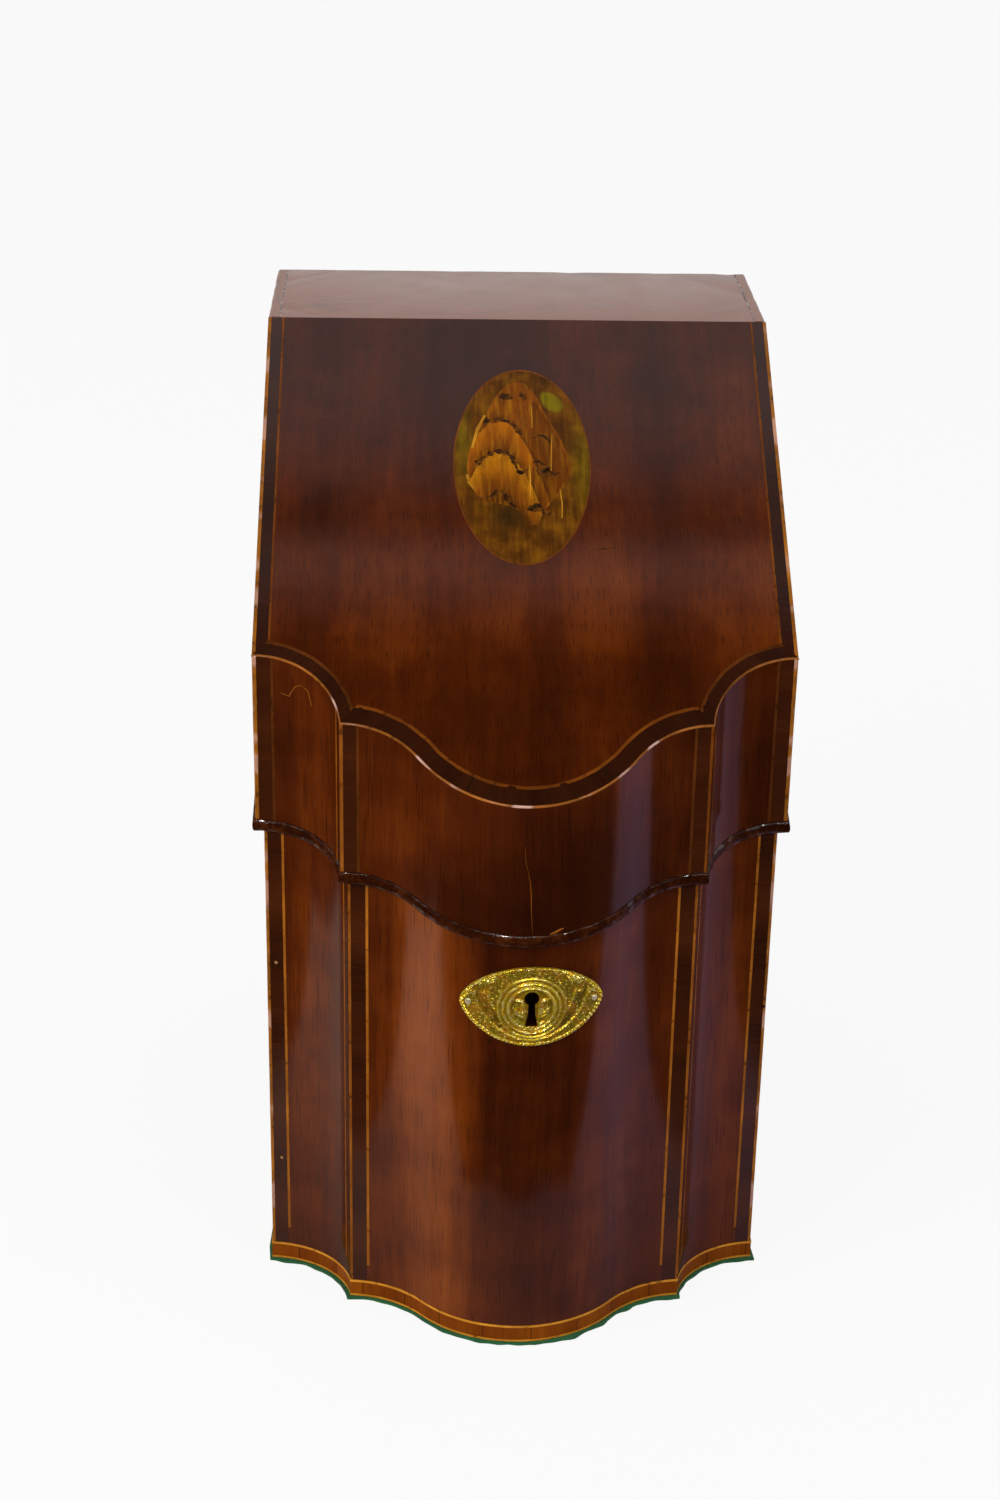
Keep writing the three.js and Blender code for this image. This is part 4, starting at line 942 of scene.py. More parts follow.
# escutcheon
plate = {"point": 1.26, "sheet": 0.45, "around": 300, "rings": 92, "backRings": 8, "keyRadius": 3.2,
         "keyRise": 3.8, "keyLength": 16.4, "footHalf": 2.5, "waistHalf": 1.40, "pinFromEnd": 3.6,
         "pinRadius": 1.45, "pinRise": 0.85, "gap": 0.32, "ropeAt": 0.962, "ropeHalf": 0.036, "cutFrom": -10,
         "cutTo": 12}
plateLow, plateHigh = (v * 1000 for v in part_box("escutcheon"))
plateX, plateZ = (plateLow.x + plateHigh.x) / 2, (plateLow.z + plateHigh.z) / 2
plateHalfX, plateHalfZ = (plateHigh.x - plateLow.x) / 2, (plateHigh.z - plateLow.z) / 2
bowFace = bowRadius - bodyInset
bowCentre = -bowDepth + bowRadius


def onBow(x, z, lift):
    turn = math.asin(x / bowFace)
    reach = bowFace + lift
    return reach * math.sin(turn), bowCentre - reach * math.cos(turn), z


def ridge(value, centre, width):
    return math.exp(-((value - centre) / width) ** 2)


def stepUp(value, low, high):
    t = min(1.0, max(0.0, (value - low) / (high - low)))
    return t * t * (3 - 2 * t)


def leafHeight(x, z, leaf):
    # one leaf with a midrib: foot point, direction in degrees, length, half width and curl
    fx, fz, turn, length, half, curl = leaf
    a = math.radians(turn)
    u = ((x - fx) * math.cos(a) + (z - fz) * math.sin(a)) / length
    if not 0 < u < 1:
        return 0.0
    v = -(x - fx) * math.sin(a) + (z - fz) * math.cos(a) - curl * u * u
    t = abs(v) / (half * math.sin(math.pi * u ** 0.8) + 0.02)
    if t > 1:
        return 0.0
    return (1 - t * t) ** 0.5 * (0.55 + 0.45 * (1 - u)) - 0.35 * ridge(v, 0, 0.16)


# leaves: foot x and z, lean from upright, length, half width and curl, on the right side
innerLeaves = [(2.6, -9.2, 22, 8.6, 1.25, 1.9), (3.0, -8.8, 58, 6.4, 1.0, 1.5),
               (3.2, -1.4, 64, 4.6, 0.8, -1.0), (6.4, -7.6, -12, 4.2, 0.7, -0.9)]
wingLeaves = [(15.8 + 0.5 * i, 6.6 - 0.2 * i, 28 * i - 10, 4.6 - 0.25 * i, 0.85, 0.8) for i in range(5)]
wingLeaves += [(24.6, 0.5, 90 - turn, 3.4, 0.55, 0.0) for turn in (-38, -12, 14, 40, 66, 150, 176, 202)]
wingLeaves += [(9.0 + 2.5 * i, 11.0 - 0.9 * i, 50 + 14 * i, 4.2, 0.75, 0.9) for i in range(3)]
innerLeaves, wingLeaves = ([(s * x, z, 90 - s * lean, length, half, s * curl)
                            for s in (-1, 1) for x, z, lean, length, half, curl in leaves]
                           for leaves in (innerLeaves, wingLeaves))
# the pressed pattern: ridges as middle, half width and height, edges as where they start and end
pressed = {"ringsDown": 4.5, "rings": [(13.7, 0.55, 0.70), (11.6, 0.55, 0.95), (9.6, 0.60, 1.10)],
           "fadingRing": (8.2, 0.70, 0.85), "innerEdge": (8.6, 9.2), "ringsFrom": (8.8, 9.4),
           "ringsTo": (14.2, 14.9), "dish": (6.0, 14.5, 0.20), "bandFrom": (18.6, 19.4),
           "bandTo": (23.4, 24.2), "bandRims": [(18.9, 0.42), (24.0, 0.45)], "bandRimHigh": 0.60,
           "bandDeep": 0.35, "bandUpTo": (5.0, 8.0), "flowerX": 19.8, "flowerUp": 1.7, "flowerRadius": 2.3,
           "petals": 5, "pinClear": (1.3, 2.0), "ropePitch": (1.1, 1.75), "ropeLean": 55,
           "collar": (0.35, 0.4, 0.34), "collarClear": (0.1, 1.0)}


def ridges(value, rows):
    return sum(height * ridge(value, middle, width) for middle, width, height in rows)


def plateRelief(x, z, r, run):
    # height of the pattern over the plate's ground; x, z from the plate's middle
    keyZ = z - plate["keyRise"]
    ringZ = keyZ + pressed["ringsDown"]
    d = math.hypot(x, ringZ)
    grain = wave(x * 1.5, z * 1.5, 3.0)
    coarse = wave(x * 0.8, z * 0.8, 5.0)
    # three rings, and a fourth that fades out upwards
    inside = 1 - stepUp(d, *pressed["innerEdge"])
    ringZone = stepUp(d, *pressed["ringsFrom"]) * (1 - stepUp(d, *pressed["ringsTo"]))
    height = ridges(d, pressed["rings"])
    dishFrom, dishTo, deep = pressed["dish"]
    height += deep * (1 - stepUp(d, dishFrom, dishTo))
    height += ridges(d, [pressed["fadingRing"]]) * max(0.0, -math.sin(math.atan2(ringZ, x))) ** 1.6
    if inside > 0:
        leaves = max(leafHeight(x, keyZ, leaf) for leaf in innerLeaves)
        height += inside * (max(0.0, leaves) + 0.10 * coarse - 0.12)
    outside = (1 - inside) * (1 - ringZone)
    if outside > 0 and r < 0.95:
        # a hollow band with rims, leaves on a grained ground, and a flower
        sweepAt = math.hypot(x + math.copysign(1.0, x), keyZ - 4.5)
        above = stepUp(z, *pressed["bandUpTo"])
        band = stepUp(sweepAt, *pressed["bandFrom"]) * (1 - stepUp(sweepAt, *pressed["bandTo"])) * (1 - above)
        hollow = -pressed["bandDeep"] * math.sin(math.pi * min(1.0, max(0.0, (sweepAt - 19.0) / 4.8)))
        rims = pressed["bandRimHigh"] * sum(ridge(sweepAt, *rim) for rim in pressed["bandRims"]) * (1 - above)
        ground = 0.55 * max(0.0, grain) ** 0.7 + 0.15 * coarse
        leaves = max(0.0, max(leafHeight(x, keyZ, leaf) for leaf in wingLeaves))
        fx, fz = abs(x) - pressed["flowerX"], keyZ - pressed["flowerUp"]
        f = math.hypot(fx, fz)
        petal = 0.55 + 0.45 * math.cos(pressed["petals"] * math.atan2(fz, fx))
        flower = max(0.0, 1 - f / pressed["flowerRadius"]) * petal + 0.8 * ridge(f, 0, 0.6)
        height += outside * (band * hollow + rims + (1 - band) * (ground + leaves) + flower)
    rope = max(0.0, 1 - ((r - plate["ropeAt"]) / plate["ropeHalf"]) ** 2) ** 0.5
    if rope > 0:
        pitch = pressed["ropePitch"][z < 2]
        twist = 0.5 + 0.5 * math.sin(2 * math.pi * run / pitch + (r - plate["ropeAt"]) * pressed["ropeLean"])
        height = max(height * (1 - rope), 0.0) + rope * (0.20 + 0.85 * twist ** 0.8)
    pinGap = min(math.hypot(x - s * (plateHalfX - plate["pinFromEnd"]), z) for s in (-1, 1))
    height *= stepUp(pinGap, *pressed["pinClear"])
    collar = min(math.hypot(x, keyZ) - plate["keyRadius"],
                 max(abs(x) - plate["footHalf"], keyZ, plate["keyRadius"] - plate["keyLength"] - keyZ))
    return height * stepUp(collar, *pressed["collarClear"]) + ridges(collar, [pressed["collar"]])


def keyholeCutter(name):
    radius, waistHalf, footHalf = plate["keyRadius"], plate["waistHalf"], plate["footHalf"]
    centre = plateZ + plate["keyRise"]
    footZ = centre + radius - plate["keyLength"]
    waist = math.asin(waistHalf / radius)
    line = [(plateX + radius * math.cos(a), centre + radius * math.sin(a))
            for a in spread(-math.pi / 2 + waist, 3 * math.pi / 2 - waist, 28)]
    halfFoot = [(waistHalf + 0.1, footZ + 6.0), (footHalf, footZ + 1.2), (footHalf - 0.2, footZ)]
    line += [(plateX - x, z) for x, z in halfFoot] + [(plateX + x, z) for x, z in halfFoot[::-1]]
    points = [(x, -bowDepth + cut, z) for cut in (plate["cutFrom"], plate["cutTo"]) for x, z in line]
    return makePiece(name, points, prismFaces(len(line)), "front", "darkMoulding", "body")


def escutcheonPlate():
    count, rings, backRings = plate["around"], plate["rings"], plate["backRings"]
    rim = []
    for k in range(count + 1):
        a = 2 * math.pi * k / count
        s = math.sin(a)
        rim.append((plateHalfX * math.cos(a), plateHalfZ * math.copysign(abs(s) ** plate["point"], s)))
    run = runAlong(rim)
    rim = rim[:-1]
    front = [(0.0, 0.0, 0.0, 0.0)]
    for i in range(1, rings + 1):
        r = (i / rings) ** 0.9
        front += [(x * r, z * r, r, run[k]) for k, (x, z) in enumerate(rim)]
    relief = [plateRelief(x, z, r, along) * min(1.0, (1.0001 - r) / 0.012) ** 0.5 for x, z, r, along in front]
    flat = [(x, z, plate["gap"] + plate["sheet"] + h) for (x, z, _, _), h in zip(front, relief)]
    shares = [1 - i / backRings for i in range(backRings)]
    flat += [(x * share, z * share, plate["gap"]) for share in shares for x, z in rim]
    points = [onBow(plateX + x, plateZ + z, lift) for x, z, lift in flat]
    layout = [(plateX + x, plateZ + z) for x, z, _ in flat]
    faces = [(0, 1 + k, 1 + (k + 1) % count) for k in range(count)]
    faces += ringFaces(1, count, rings + backRings)
    faces.append([len(points) - count + k for k in range(count)])
    piece = makePiece("escutcheonPlate", points, faces, layout, "brassPlate", "body", 70.0)
    mark = piece.data.uv_layers.new(name="relief")
    for loop in piece.data.loops:
        v = loop.vertex_index
        mark.data[loop.index].uv = (relief[v] if v < len(relief) else 0.0, 0.0)
    cutAway(piece, keyholeCutter("plateCutter"))
    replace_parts(piece, "escutcheon")
    cutAway(bodyCentre, keyholeCutter("veneerCutter"))


def brassFinish(name, low, high, withRelief=False):
    f = Finish(name)
    at = f.place()
    patch = f.grit(at, 260.0, 4.0, 0.6)
    fine = f.grit(at, 2600.0, 3.0)
    if withRelief:
        # rubbed bright on the raised parts, dark in the ground
        level = (f.parts(f.sheetPlace("relief"))[0] * 1.05 + patch * 0.50 - 0.16).clamped()
    else:
        level = (patch * 1.2 - 0.1).clamped()
    colour = f.mix(low, high, level)
    colour = f.mix(colour, low, f.grit(at, 120.0, 3.0).over(0.60, 0.08) * 0.5)
    if withRelief:
        # painted reflection and highlights: orange patches and bright flecks mixed into the colour stand in
        # for the brass's reflections and glints
        paintedGlint = f.grit(at, 950.0, 2.0)
        colour = f.mix(colour, (0.75, 0.29, 0.008), f.grit(at, 210.0, 2.0).over(0.54, 0.08) * 0.45)
        colour = f.mix(colour, (1.0, 0.90, 0.46), level.over(0.70, 0.16) * paintedGlint.over(0.54, 0.04))
        colour = f.mix(colour, (1.0, 0.78, 0.16), paintedGlint.over(0.61, 0.03) * 0.7)
    f.give(Base_Color=colour, Metallic=level * 0.2 + 0.55, Roughness=fine * 0.10 + (0.30 - 0.14 * level))
    f.bump(patch * 0.8 + f.grit(at, 800.0, 2.0) * 1.2, 0.00030)


def pinFinish():
    f = Finish("pinMetal")
    worn = f.grit(f.place(), 900.0, 3.0)
    f.give(Base_Color=f.mix((0.66, 0.54, 0.24), (0.95, 0.90, 0.66), worn), Metallic=0.6,
           Roughness=worn * 0.12 + 0.22)


brassFinish("brassPlate", (0.20, 0.118, 0.002), (1.0, 0.72, 0.020), True)
brassFinish("oldBrass", (0.20, 0.125, 0.025), (0.62, 0.42, 0.12))
pinFinish()
escutcheonPlate()
print("escutcheon ready")

# shell inlay on the slope, in mm from the oval's middle, across and up the slope
shell = {
    "x": 0.3, "down": 87.0, "halfX": 30.0, "halfUp": 56.0, "groundShare": 0.984, "thick": 0.30,
    "rimLift": 0.02, "groundLift": 0.04, "shellLift": 0.07, "lipLift": 0.09, "burntLift": 0.10,
    "ribLift": 0.12,
    "outline": [(-15.7, 28.9), (-19.6, 20.0), (-22.2, 10.3), (-23.9, 0), (-23, -8.2), (-19.3, -17.9),
                (-10.9, -21.9), (-3, -25.2), (3.6, -34), (7.8, -28.4), (14.6, -17.0), (21, -5.8),
                (19.8, 6.3), (16.2, 17.6), (11.4, 28), (7.2, 39.4), (1.7, 47.5), (-4.3, 47.5), (-9.7, 42.0)],
    "lip": [(4.8, 33), (9.4, 30), (13.0, 23), (16.2, 15), (19.0, 5.0), (19.6, -5.0), (15.0, -15.5),
            (9.5, -24.5), (4.9, -31.0)],
    "crescents": [([(-15.9, 28.6), (-19.2, 20.5), (-21.7, 9.5)], 1.5),
                  ([(-24.1, -5.8), (-23.0, -10.5), (-20.6, -14.4)], 1.5)],
    "ribs": [([(4.8, 34.0), (4.8, 21.5)], 0.55),
             ([(3.2, 0.0), (3.5, -9.0), (3.3, -18.0)], 0.6),
             ([(13.4, 17.6), (12.9, 6.0), (12.6, -3.4)], 0.6),
             ([(16.2, -13.9), (16.9, -22.0), (16.6, -30.0)], 0.6)],
    "burnt": [([(-15.0, 25.8), (-12.5, 24.9), (-10.7, 26.8), (-8.3, 26.3), (-5.9, 25.4), (-2.9, 23.0),
                (0.4, 18.6)], 1.9),
              ([(-15.2, 27.6), (-14.6, 23.4)], 2.4),
              ([(-1.4, 21.6), (0.2, 17.4)], 2.6),
              ([(-20.4, 1.4), (-16.1, 4.9), (-13.2, 7.0), (-10.2, 8.0), (-7.0, 7.0), (-4.3, 4.6), (-2.9, 1.0),
                (-0.75, -4.6), (3.2, -1.4)], 1.5),
              ([(-20.6, 2.0), (-17.4, 1.4)], 2.4),
              ([(-4.2, 2.4), (-2.4, 0.4)], 2.2),
              ([(-2.2, -3.4), (1.0, -4.6)], 2.8),
              ([(-18.4, -18.6), (-13.9, -17.9), (-11.3, -15.1), (-8.3, -15.6), (-6.8, -18.7), (-4.8, -21.8),
                (-0.6, -27.4)], 1.6),
              ([(-8.0, -17.6), (-5.0, -19.2)], 2.4),
              ([(4.6, 1.4), (7.0, 2.4), (9.1, 0.7), (11.3, -2.1), (13.6, -4.6), (17.6, -3.0)], 1.6),
              ([(6.2, -3.2), (12.8, -3.6)], 3.4),
              ([(1.6, -25.6), (5.4, -23.4), (9.1, -25.8), (12.3, -27.0)], 3.6),
              ([(4.6, 15.4), (8.0, 17.3), (11.3, 15.8), (13.0, 12.4)], 1.0),
              ([(-10.2, 40.0), (-6.4, 40.6), (-3.0, 39.2)], 4.2),
              ([(0.6, 42.8), (2.4, 37.6)], 2.4)],
}
slopeCrack = {"path": [(27.7, -46.4), (31.0, -46.9), (35.0, -46.7), (38.6, -46.1)], "width": 0.7,
              "lift": 0.03}
shellY = -boxSize["topDepth"] - shell["down"] * math.cos(slopeTurn)


def curvePart(p0, p1, p2, p3, cuts):
    # points on a smooth curve from p1 up to p2
    return [0.5 * (2 * p1 + (p2 - p0) * t + (2 * p0 - 5 * p1 + 4 * p2 - p3) * t * t
                   + (3 * p1 - p0 - 3 * p2 + p3) * t ** 3) for t in (k / cuts for k in range(cuts))]


def ovalOutline(share):
    return [(shell["halfX"] * share * math.cos(a), shell["halfUp"] * share * math.sin(a))
            for a in spread(0, 2 * math.pi, 120)[:-1]]


def rounded(outline):
    # a closed smooth line through the outline's points
    n = len(outline)
    return [tuple(p) for i in range(n)
            for p in curvePart(*(Vector(outline[(i + k) % n]) for k in (-1, 0, 1, 2)), 6)]


def ribbonOutline(path, width):
    left, right = [], []
    for i, (x, y) in enumerate(path):
        (ax, ay), (bx, by) = path[max(0, i - 1)], path[min(len(path) - 1, i + 1)]
        gap = math.hypot(bx - ax, by - ay)
        half = width / 2 * (0.35 + 0.65 * math.sin(math.pi * (i + 0.5) / len(path)))
        left.append((x - (by - ay) / gap * half, y + (bx - ax) / gap * half))
        right.append((x + (by - ay) / gap * half, y - (bx - ax) / gap * half))
    return left + right[::-1]


def scorchOutline(path, width):
    # a burnt edge: smooth above, scalloped below
    ends = [Vector(p) for p in (path[0], *path, path[-1])]
    line = [p for i in range(len(ends) - 3) for p in curvePart(*ends[i:i + 4], 10)]
    above, below, run = [], [], 0.0
    for i, here in enumerate(line):
        ahead = line[min(i + 1, len(line) - 1)] - line[max(i - 1, 0)]
        across = Vector((-ahead.y, ahead.x)).normalized() * (1 if ahead.x > 0 else -1)
        run += ahead.length / 2
        half = width / 2 * (0.35 + 2.9 * abs(wave(run * 0.42, width, 2.0)))
        half *= min(1.0, 4 * (i + 1) / len(line), 4 * (len(line) - i) / len(line))
        above.append(tuple(here + across * half * 0.6))
        below.append(tuple(here - across * (half + 0.60 * abs(math.sin(run * 1.5)))))
    return above + below[::-1]


def inlayPatch(name, outline, lift, finish):
    # a thin flat patch on the slope
    points, layout = [], []
    for level in (lift, lift - shell["thick"]):
        for x, up in outline:
            y = shellY + up * math.cos(slopeTurn)
            points.append((shell["x"] + x, y, slopeZ(y) + level))
            layout.append((x, up))
    return makePiece(name, points, prismFaces(len(outline)), layout, finish, "lid", 30.0)


def shellGround():
    f = Finish("shellGround")
    at = f.sheetPlace()
    x, up, _ = f.parts(at)
    grain = f.grain(at, 0.10, 420.0, 3.0, 0.55)
    patch = f.grit(at, 75.0, 3.0)
    colour = f.ramp(grain * 0.40 + patch * 0.75,
                    [(0.38, (0.034, 0.011, 0.0006)), (0.56, (0.100, 0.031, 0.0010)),
                     (0.76, (0.22, 0.080, 0.0018))])
    # shadow under the shell
    aside, below = (x + 0.007) / 0.011, (up + 0.029) / 0.008
    colour = f.mix(colour, (0.030, 0.015, 0.002), (1 - aside * aside - below * below).clamped() * 0.6)
    # green stain at both sides, and a brighter spot of it at the upper right
    green = f.ramp(grain * 0.6 + patch * 0.5, [(0.34, (0.090, 0.058, 0.0008)), (0.72, (0.26, 0.185, 0.0022))])
    leftSide = (x + 0.0250 + up * 0.10).size().under(0.0030, 0.0040) * up.over(-0.002, 0.012)
    rightSide = (x - 0.0270).size().under(0.0030, 0.004) * up.size().under(0.022, 0.014)
    rise = up - 0.0365
    away = x - 0.0140 + rise * 0.35
    spot = (away * away * 1.9 + rise * rise + (patch - 0.5) * 0.00008).under(0.000036, 0.000012)
    colour = f.mix(colour, green, spot.maths("MAXIMUM", leftSide * 0.6).maths("MAXIMUM", rightSide * 0.5))
    f.give(Base_Color=colour, Roughness=grain * 0.08 + 0.18, IOR=1.20)
    f.bump(grain, 0.00003)


def scorchedShell(name, shade=1.0):
    # veneer in tiers, golden below each burnt edge and browner towards the next; tiers in mm up the slope
    tiers = [(-18, (0.10, 0.024, 0.0006)), (-8, (0.22, 0.056, 0.0010)), (1, (0.44, 0.145, 0.0018)),
             (6.6, (0.55, 0.200, 0.0030)), (7.6, (0.12, 0.030, 0.0008)), (13, (0.24, 0.058, 0.0010)),
             (24.6, (0.42, 0.115, 0.0015)), (25.8, (0.10, 0.026, 0.0008)), (32, (0.24, 0.060, 0.0010)),
             (46, (0.21, 0.050, 0.0008))]
    f = Finish(name)
    at = f.sheetPlace()
    x, up, _ = f.parts(at)
    grain = f.grain(at, 0.10, 480.0, 3.0, 0.55)
    haze = f.grain(at, 0.45, 140.0, 3.0)
    tier = up + (x + 0.010) * (x + 0.010) * 100.0 + (f.grit(at, 300.0, 2.0) - 0.5) * 0.006
    stops = [((mm + 20) / 70, tuple(v * shade for v in c)) for mm, c in tiers]
    colour = f.ramp((tier + 0.020) / 0.070, stops)
    colour = f.mix(colour, (0.075, 0.020, 0.0006), haze.over(0.54, 0.14) * 0.65)
    colour = f.mix(colour, tuple(v * shade for v in (0.62, 0.25, 0.006)), grain.over(0.60, 0.12) * 0.35)
    f.give(Base_Color=colour, Roughness=grain * 0.08 + 0.18, IOR=1.20)
    f.bump(grain, 0.00003)


def scorch():
    # charred in blots, brown between them
    f = Finish("burntEdge")
    at = f.sheetPlace()
    blot = f.grit(at, 330.0, 3.0) + f.grain(at, 0.2, 900.0, 2.0) * 0.25
    f.give(Base_Color=f.ramp(blot, [(0.52, (0.020, 0.0075, 0.0009)), (0.64, (0.060, 0.0190, 0.0011)),
                                    (0.76, (0.17, 0.048, 0.0012))]), Roughness=0.3, IOR=1.20)


shellGround()
scorchedShell("scorchedShell")
scorchedShell("scorchedLip", 0.66)
scorch()
inlayPatch("shellRim", ovalOutline(1.0), shell["rimLift"], "fadedLine")
ground = inlayPatch("shellGround", ovalOutline(shell["groundShare"]), shell["groundLift"], "shellGround")
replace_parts(ground, "shell_oval")
inlayPatch("shellBody", rounded(shell["outline"]), shell["shellLift"], "scorchedShell")
inlayPatch("shellLip", rounded(shell["lip"]), shell["lipLift"], "scorchedLip")
for label, paths, shape, lift, finish in (
        ("shellCrescent", shell["crescents"], ribbonOutline, shell["ribLift"], "shellRib"),
        ("shellRib", shell["ribs"], ribbonOutline, shell["ribLift"], "shellRib"),
        ("shellBurntEdge", shell["burnt"], scorchOutline, shell["burntLift"], "burntEdge")):
    for i, (path, width) in enumerate(paths):
        inlayPatch(f"{label}{i + 1}", shape(path, width), lift, finish)
crack = ribbonOutline(slopeCrack["path"], slopeCrack["width"])
inlayPatch("slopeCrack", crack, slopeCrack["lift"], "burntEdge")
print("shell inlaid")

# stringing round the tray's slots; the tray's top lies a set drop below the parting plane
tray = {"drop": 14.0, "ringIn": 0.35, "ringOut": 1.35, "lift": 0.06, "thick": 0.30, "corner": 1.2,
        # each row: distance from the back, slot width and length, half the pitch, number of slots
        "rows": [(33, 9, 28, 15.5, 6), (81, 9, 28, 15.5, 6), (129, 12, 24, 15.5, 6), (174, 12, 24, 15.5, 6),
                 (224, 34, 13, 62.0, 2)]}


def slotRings():
    points, faces = [], []
    m = 8    # corners of a ring
    high, low = tray["lift"], tray["lift"] - tray["thick"]
    for distance, width, length, half, count in tray["rows"]:
        for middle in (half * (2 * i - count + 1) for i in range(count)):
            start = len(points)
            for level, grow in ((high, tray["ringOut"]), (high, tray["ringIn"]), (low, tray["ringIn"]),
                                (low, tray["ringOut"])):
                a, b, c = width / 2 + grow, length / 2 + grow, tray["corner"] + grow * 0.6
                ring = ((a - c, -b), (a, c - b), (a, b - c), (a - c, b), (c - a, b), (-a, b - c), (-a, c - b),
                        (c - a, -b))
                points += [(middle + x, y - distance, partingZ(y - distance) - tray["drop"] + level)
                           for x, y in ring]
            faces += ringFaces(start, m, 4)
            last = start + 3 * m
            faces += [(last + k, last + (k + 1) % m, start + (k + 1) % m, start + k) for k in range(m)]
    makePiece("traySlotStringing", points, faces, "plan", "slotStringing", "body", 30.0)


slotRings()

# ends of the top board, and the pin in its left corner
topEnds = {"width": 4.6, "line": 0.45, "outer": 1.3, "rear": -1.5, "front": -88.0, "thick": 0.2,
           "pinX": -107.9, "pinY": -85.6, "pinDrop": 0.41, "pinRadius": 0.95, "pinRise": 0.40}


def endStrip(name, x0, x1, finish):
    rear, front, z = topEnds["rear"], topEnds["front"], boxSize["topHeight"]
    points = [(x, y, level) for level in (z, z - topEnds["thick"])
              for x, y in ((x0, rear), (x1, rear), (x1, front), (x0, front))]
    makePiece(name, points, prismFaces(4), "plan", finish, "lid", 30.0)


shank = {"share": 0.4, "top": 0.05, "bottom": 0.6, "tip": 0.7}


def dome(name, middle, outward, radius, rise, finish, body, count=20, rings=5):
    # a low rounded head on a surface, with a short shank into it
    across = Vector(outward).normalized()
    sideways = across.orthogonal().normalized()
    upward = across.cross(sideways)
    profile = [(radius * math.sin(a), rise * math.cos(a)) for a in spread(0, math.pi / 2, rings)]
    profile += [(radius * shank["share"], -shank["top"]), (radius * shank["share"], -shank["bottom"]),
                (0.0, -shank["tip"])]
    points = [tuple(Vector(middle) + across * h + (sideways * math.cos(a) + upward * math.sin(a)) * r)
              for r, h in profile for a in spread(0, 2 * math.pi, count)[:-1]]
    return makePiece(name, points, ringFaces(0, count, len(profile)), "front", finish, body, 50.0)


for side, word in sides:
    pinAt = onBow(plateX + side * (plateHalfX - plate["pinFromEnd"]), plateZ, plate["gap"] + plate["sheet"])
    pin = dome("escutcheonPin" + word, pinAt, (pinAt[0], pinAt[1] - bowCentre, 0), plate["pinRadius"],
               plate["pinRise"], "pinMetal", "body", 28, 7)
    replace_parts(pin, "escutcheon_pin_" + word.lower())
for side, word in sides:
    inner = halfWidth - topEnds["width"]
    endStrip("topEndLine" + word, side * inner, side * (inner - topEnds["line"]), "darkMoulding")
    endStrip("topEndStrip" + word, side * (halfWidth - topEnds["outer"]), side * inner, "topEndVeneer")

# marks of use
marks = {"lift": 0.05, "bed": 0.2, "pitRise": 0.12,
         # paths: x, height and width
         "lidCrack": ("fadedLine", [(-1.4, 244.8, 0.2), (-0.9, 238.0, 0.3), (0.3, 233.2, 0.2),
                                    (1.0, 229.0, 0.4), (1.5, 224.0, 0.45), (1.8, 215.0, 0.35),
                                    (2.5, 205.5, 0.2)]),
         "beadChip": ("stringing", [(9.6, 205.2, 0.4), (11.5, 205.8, 1.1), (13.5, 206.8, 0.9),
                                    (15.2, 207.4, 0.3)]),
         "wingScratch": ("dimLine", [(-101.5, 285.0, 0.15), (-97.8, 283.8, 0.3), (-95.2, 288.6, 0.3),
                                     (-92.4, 289.8, 0.25), (-89.7, 287.9, 0.3), (-88.1, 281.7, 0.2)]),
         "arrisChip": ("stringing", [(76.8, 278.0, 0.3), (77.0, 274.0, 0.5), (77.1, 269.5, 0.25)]),
         # pits: x, height, radius and finish
         "pits": [(-105.6, 155.5, 0.8, "slotStringing"), (-104.7, 55.7, 0.7, "slotStringing"),
                  (108.4, 133.7, 0.9, "darkMoulding"), (-13.9, 152.4, 0.9, "darkMoulding")]}


def frontAt(inset, x):
    line = frontLine(inset)
    for (ax, ay), (bx, by) in zip(line, line[1:]):
        if ax <= x <= bx and bx > ax:
            return ay + (by - ay) * (x - ax) / (bx - ax)
    return line[0][1]


def hairline(name, face):
    # a shallow mark that follows the lid's front
    finish, path = marks[name]
    points = []
    for i, (x, z, width) in enumerate(path):
        (ax, az, _), (bx, bz, _) = path[max(0, i - 1)], path[min(len(path) - 1, i + 1)]
        gap = math.hypot(bx - ax, bz - az)
        lift, bed = marks["lift"], -marks["bed"]
        for side, level in ((-1, lift), (1, lift), (1, bed), (-1, bed)):
            px, pz = x - (bz - az) / gap * side * width / 2, z + (bx - ax) / gap * side * width / 2
            points.append((px, frontAt(face - level, px), pz))
    makePiece(name, points, prismFaces(4, len(path)), "front", finish, "lid", 30.0)


for name in ("lidCrack", "beadChip", "wingScratch", "arrisChip"):
    hairline(name, -inlay["lineLift"])
for i, (x, z, radius, finish) in enumerate(marks["pits"]):
    middle = (x, frontAt(bodyInset - inlay["lineLift"], x), z)
    dome(f"bodyFilledPit{i + 1}", middle, (x * 0.3 / halfWidth, -1.0, 0), radius, marks["pitRise"], finish,
         "body")
dome("topPin", (topEnds["pinX"], topEnds["pinY"], boxSize["topHeight"] - topEnds["pinDrop"]), (0, 0, 1),
     topEnds["pinRadius"], topEnds["pinRise"], "pinMetal", "lid")


# finishes of the CAD's own pieces
def ironFinish():
    f = Finish("oldIron")
    rust = f.grit(f.place(), 700.0, 4.0, 0.65)
    colour = f.ramp(rust, [(0.30, (0.020, 0.016, 0.013)), (0.55, (0.060, 0.048, 0.038)),
                           (0.80, (0.13, 0.085, 0.055))])
    f.give(Base_Color=colour, Metallic=rust * -0.4 + 0.95, Roughness=rust * 0.3 + 0.30)
    f.bump(rust, 0.00008)


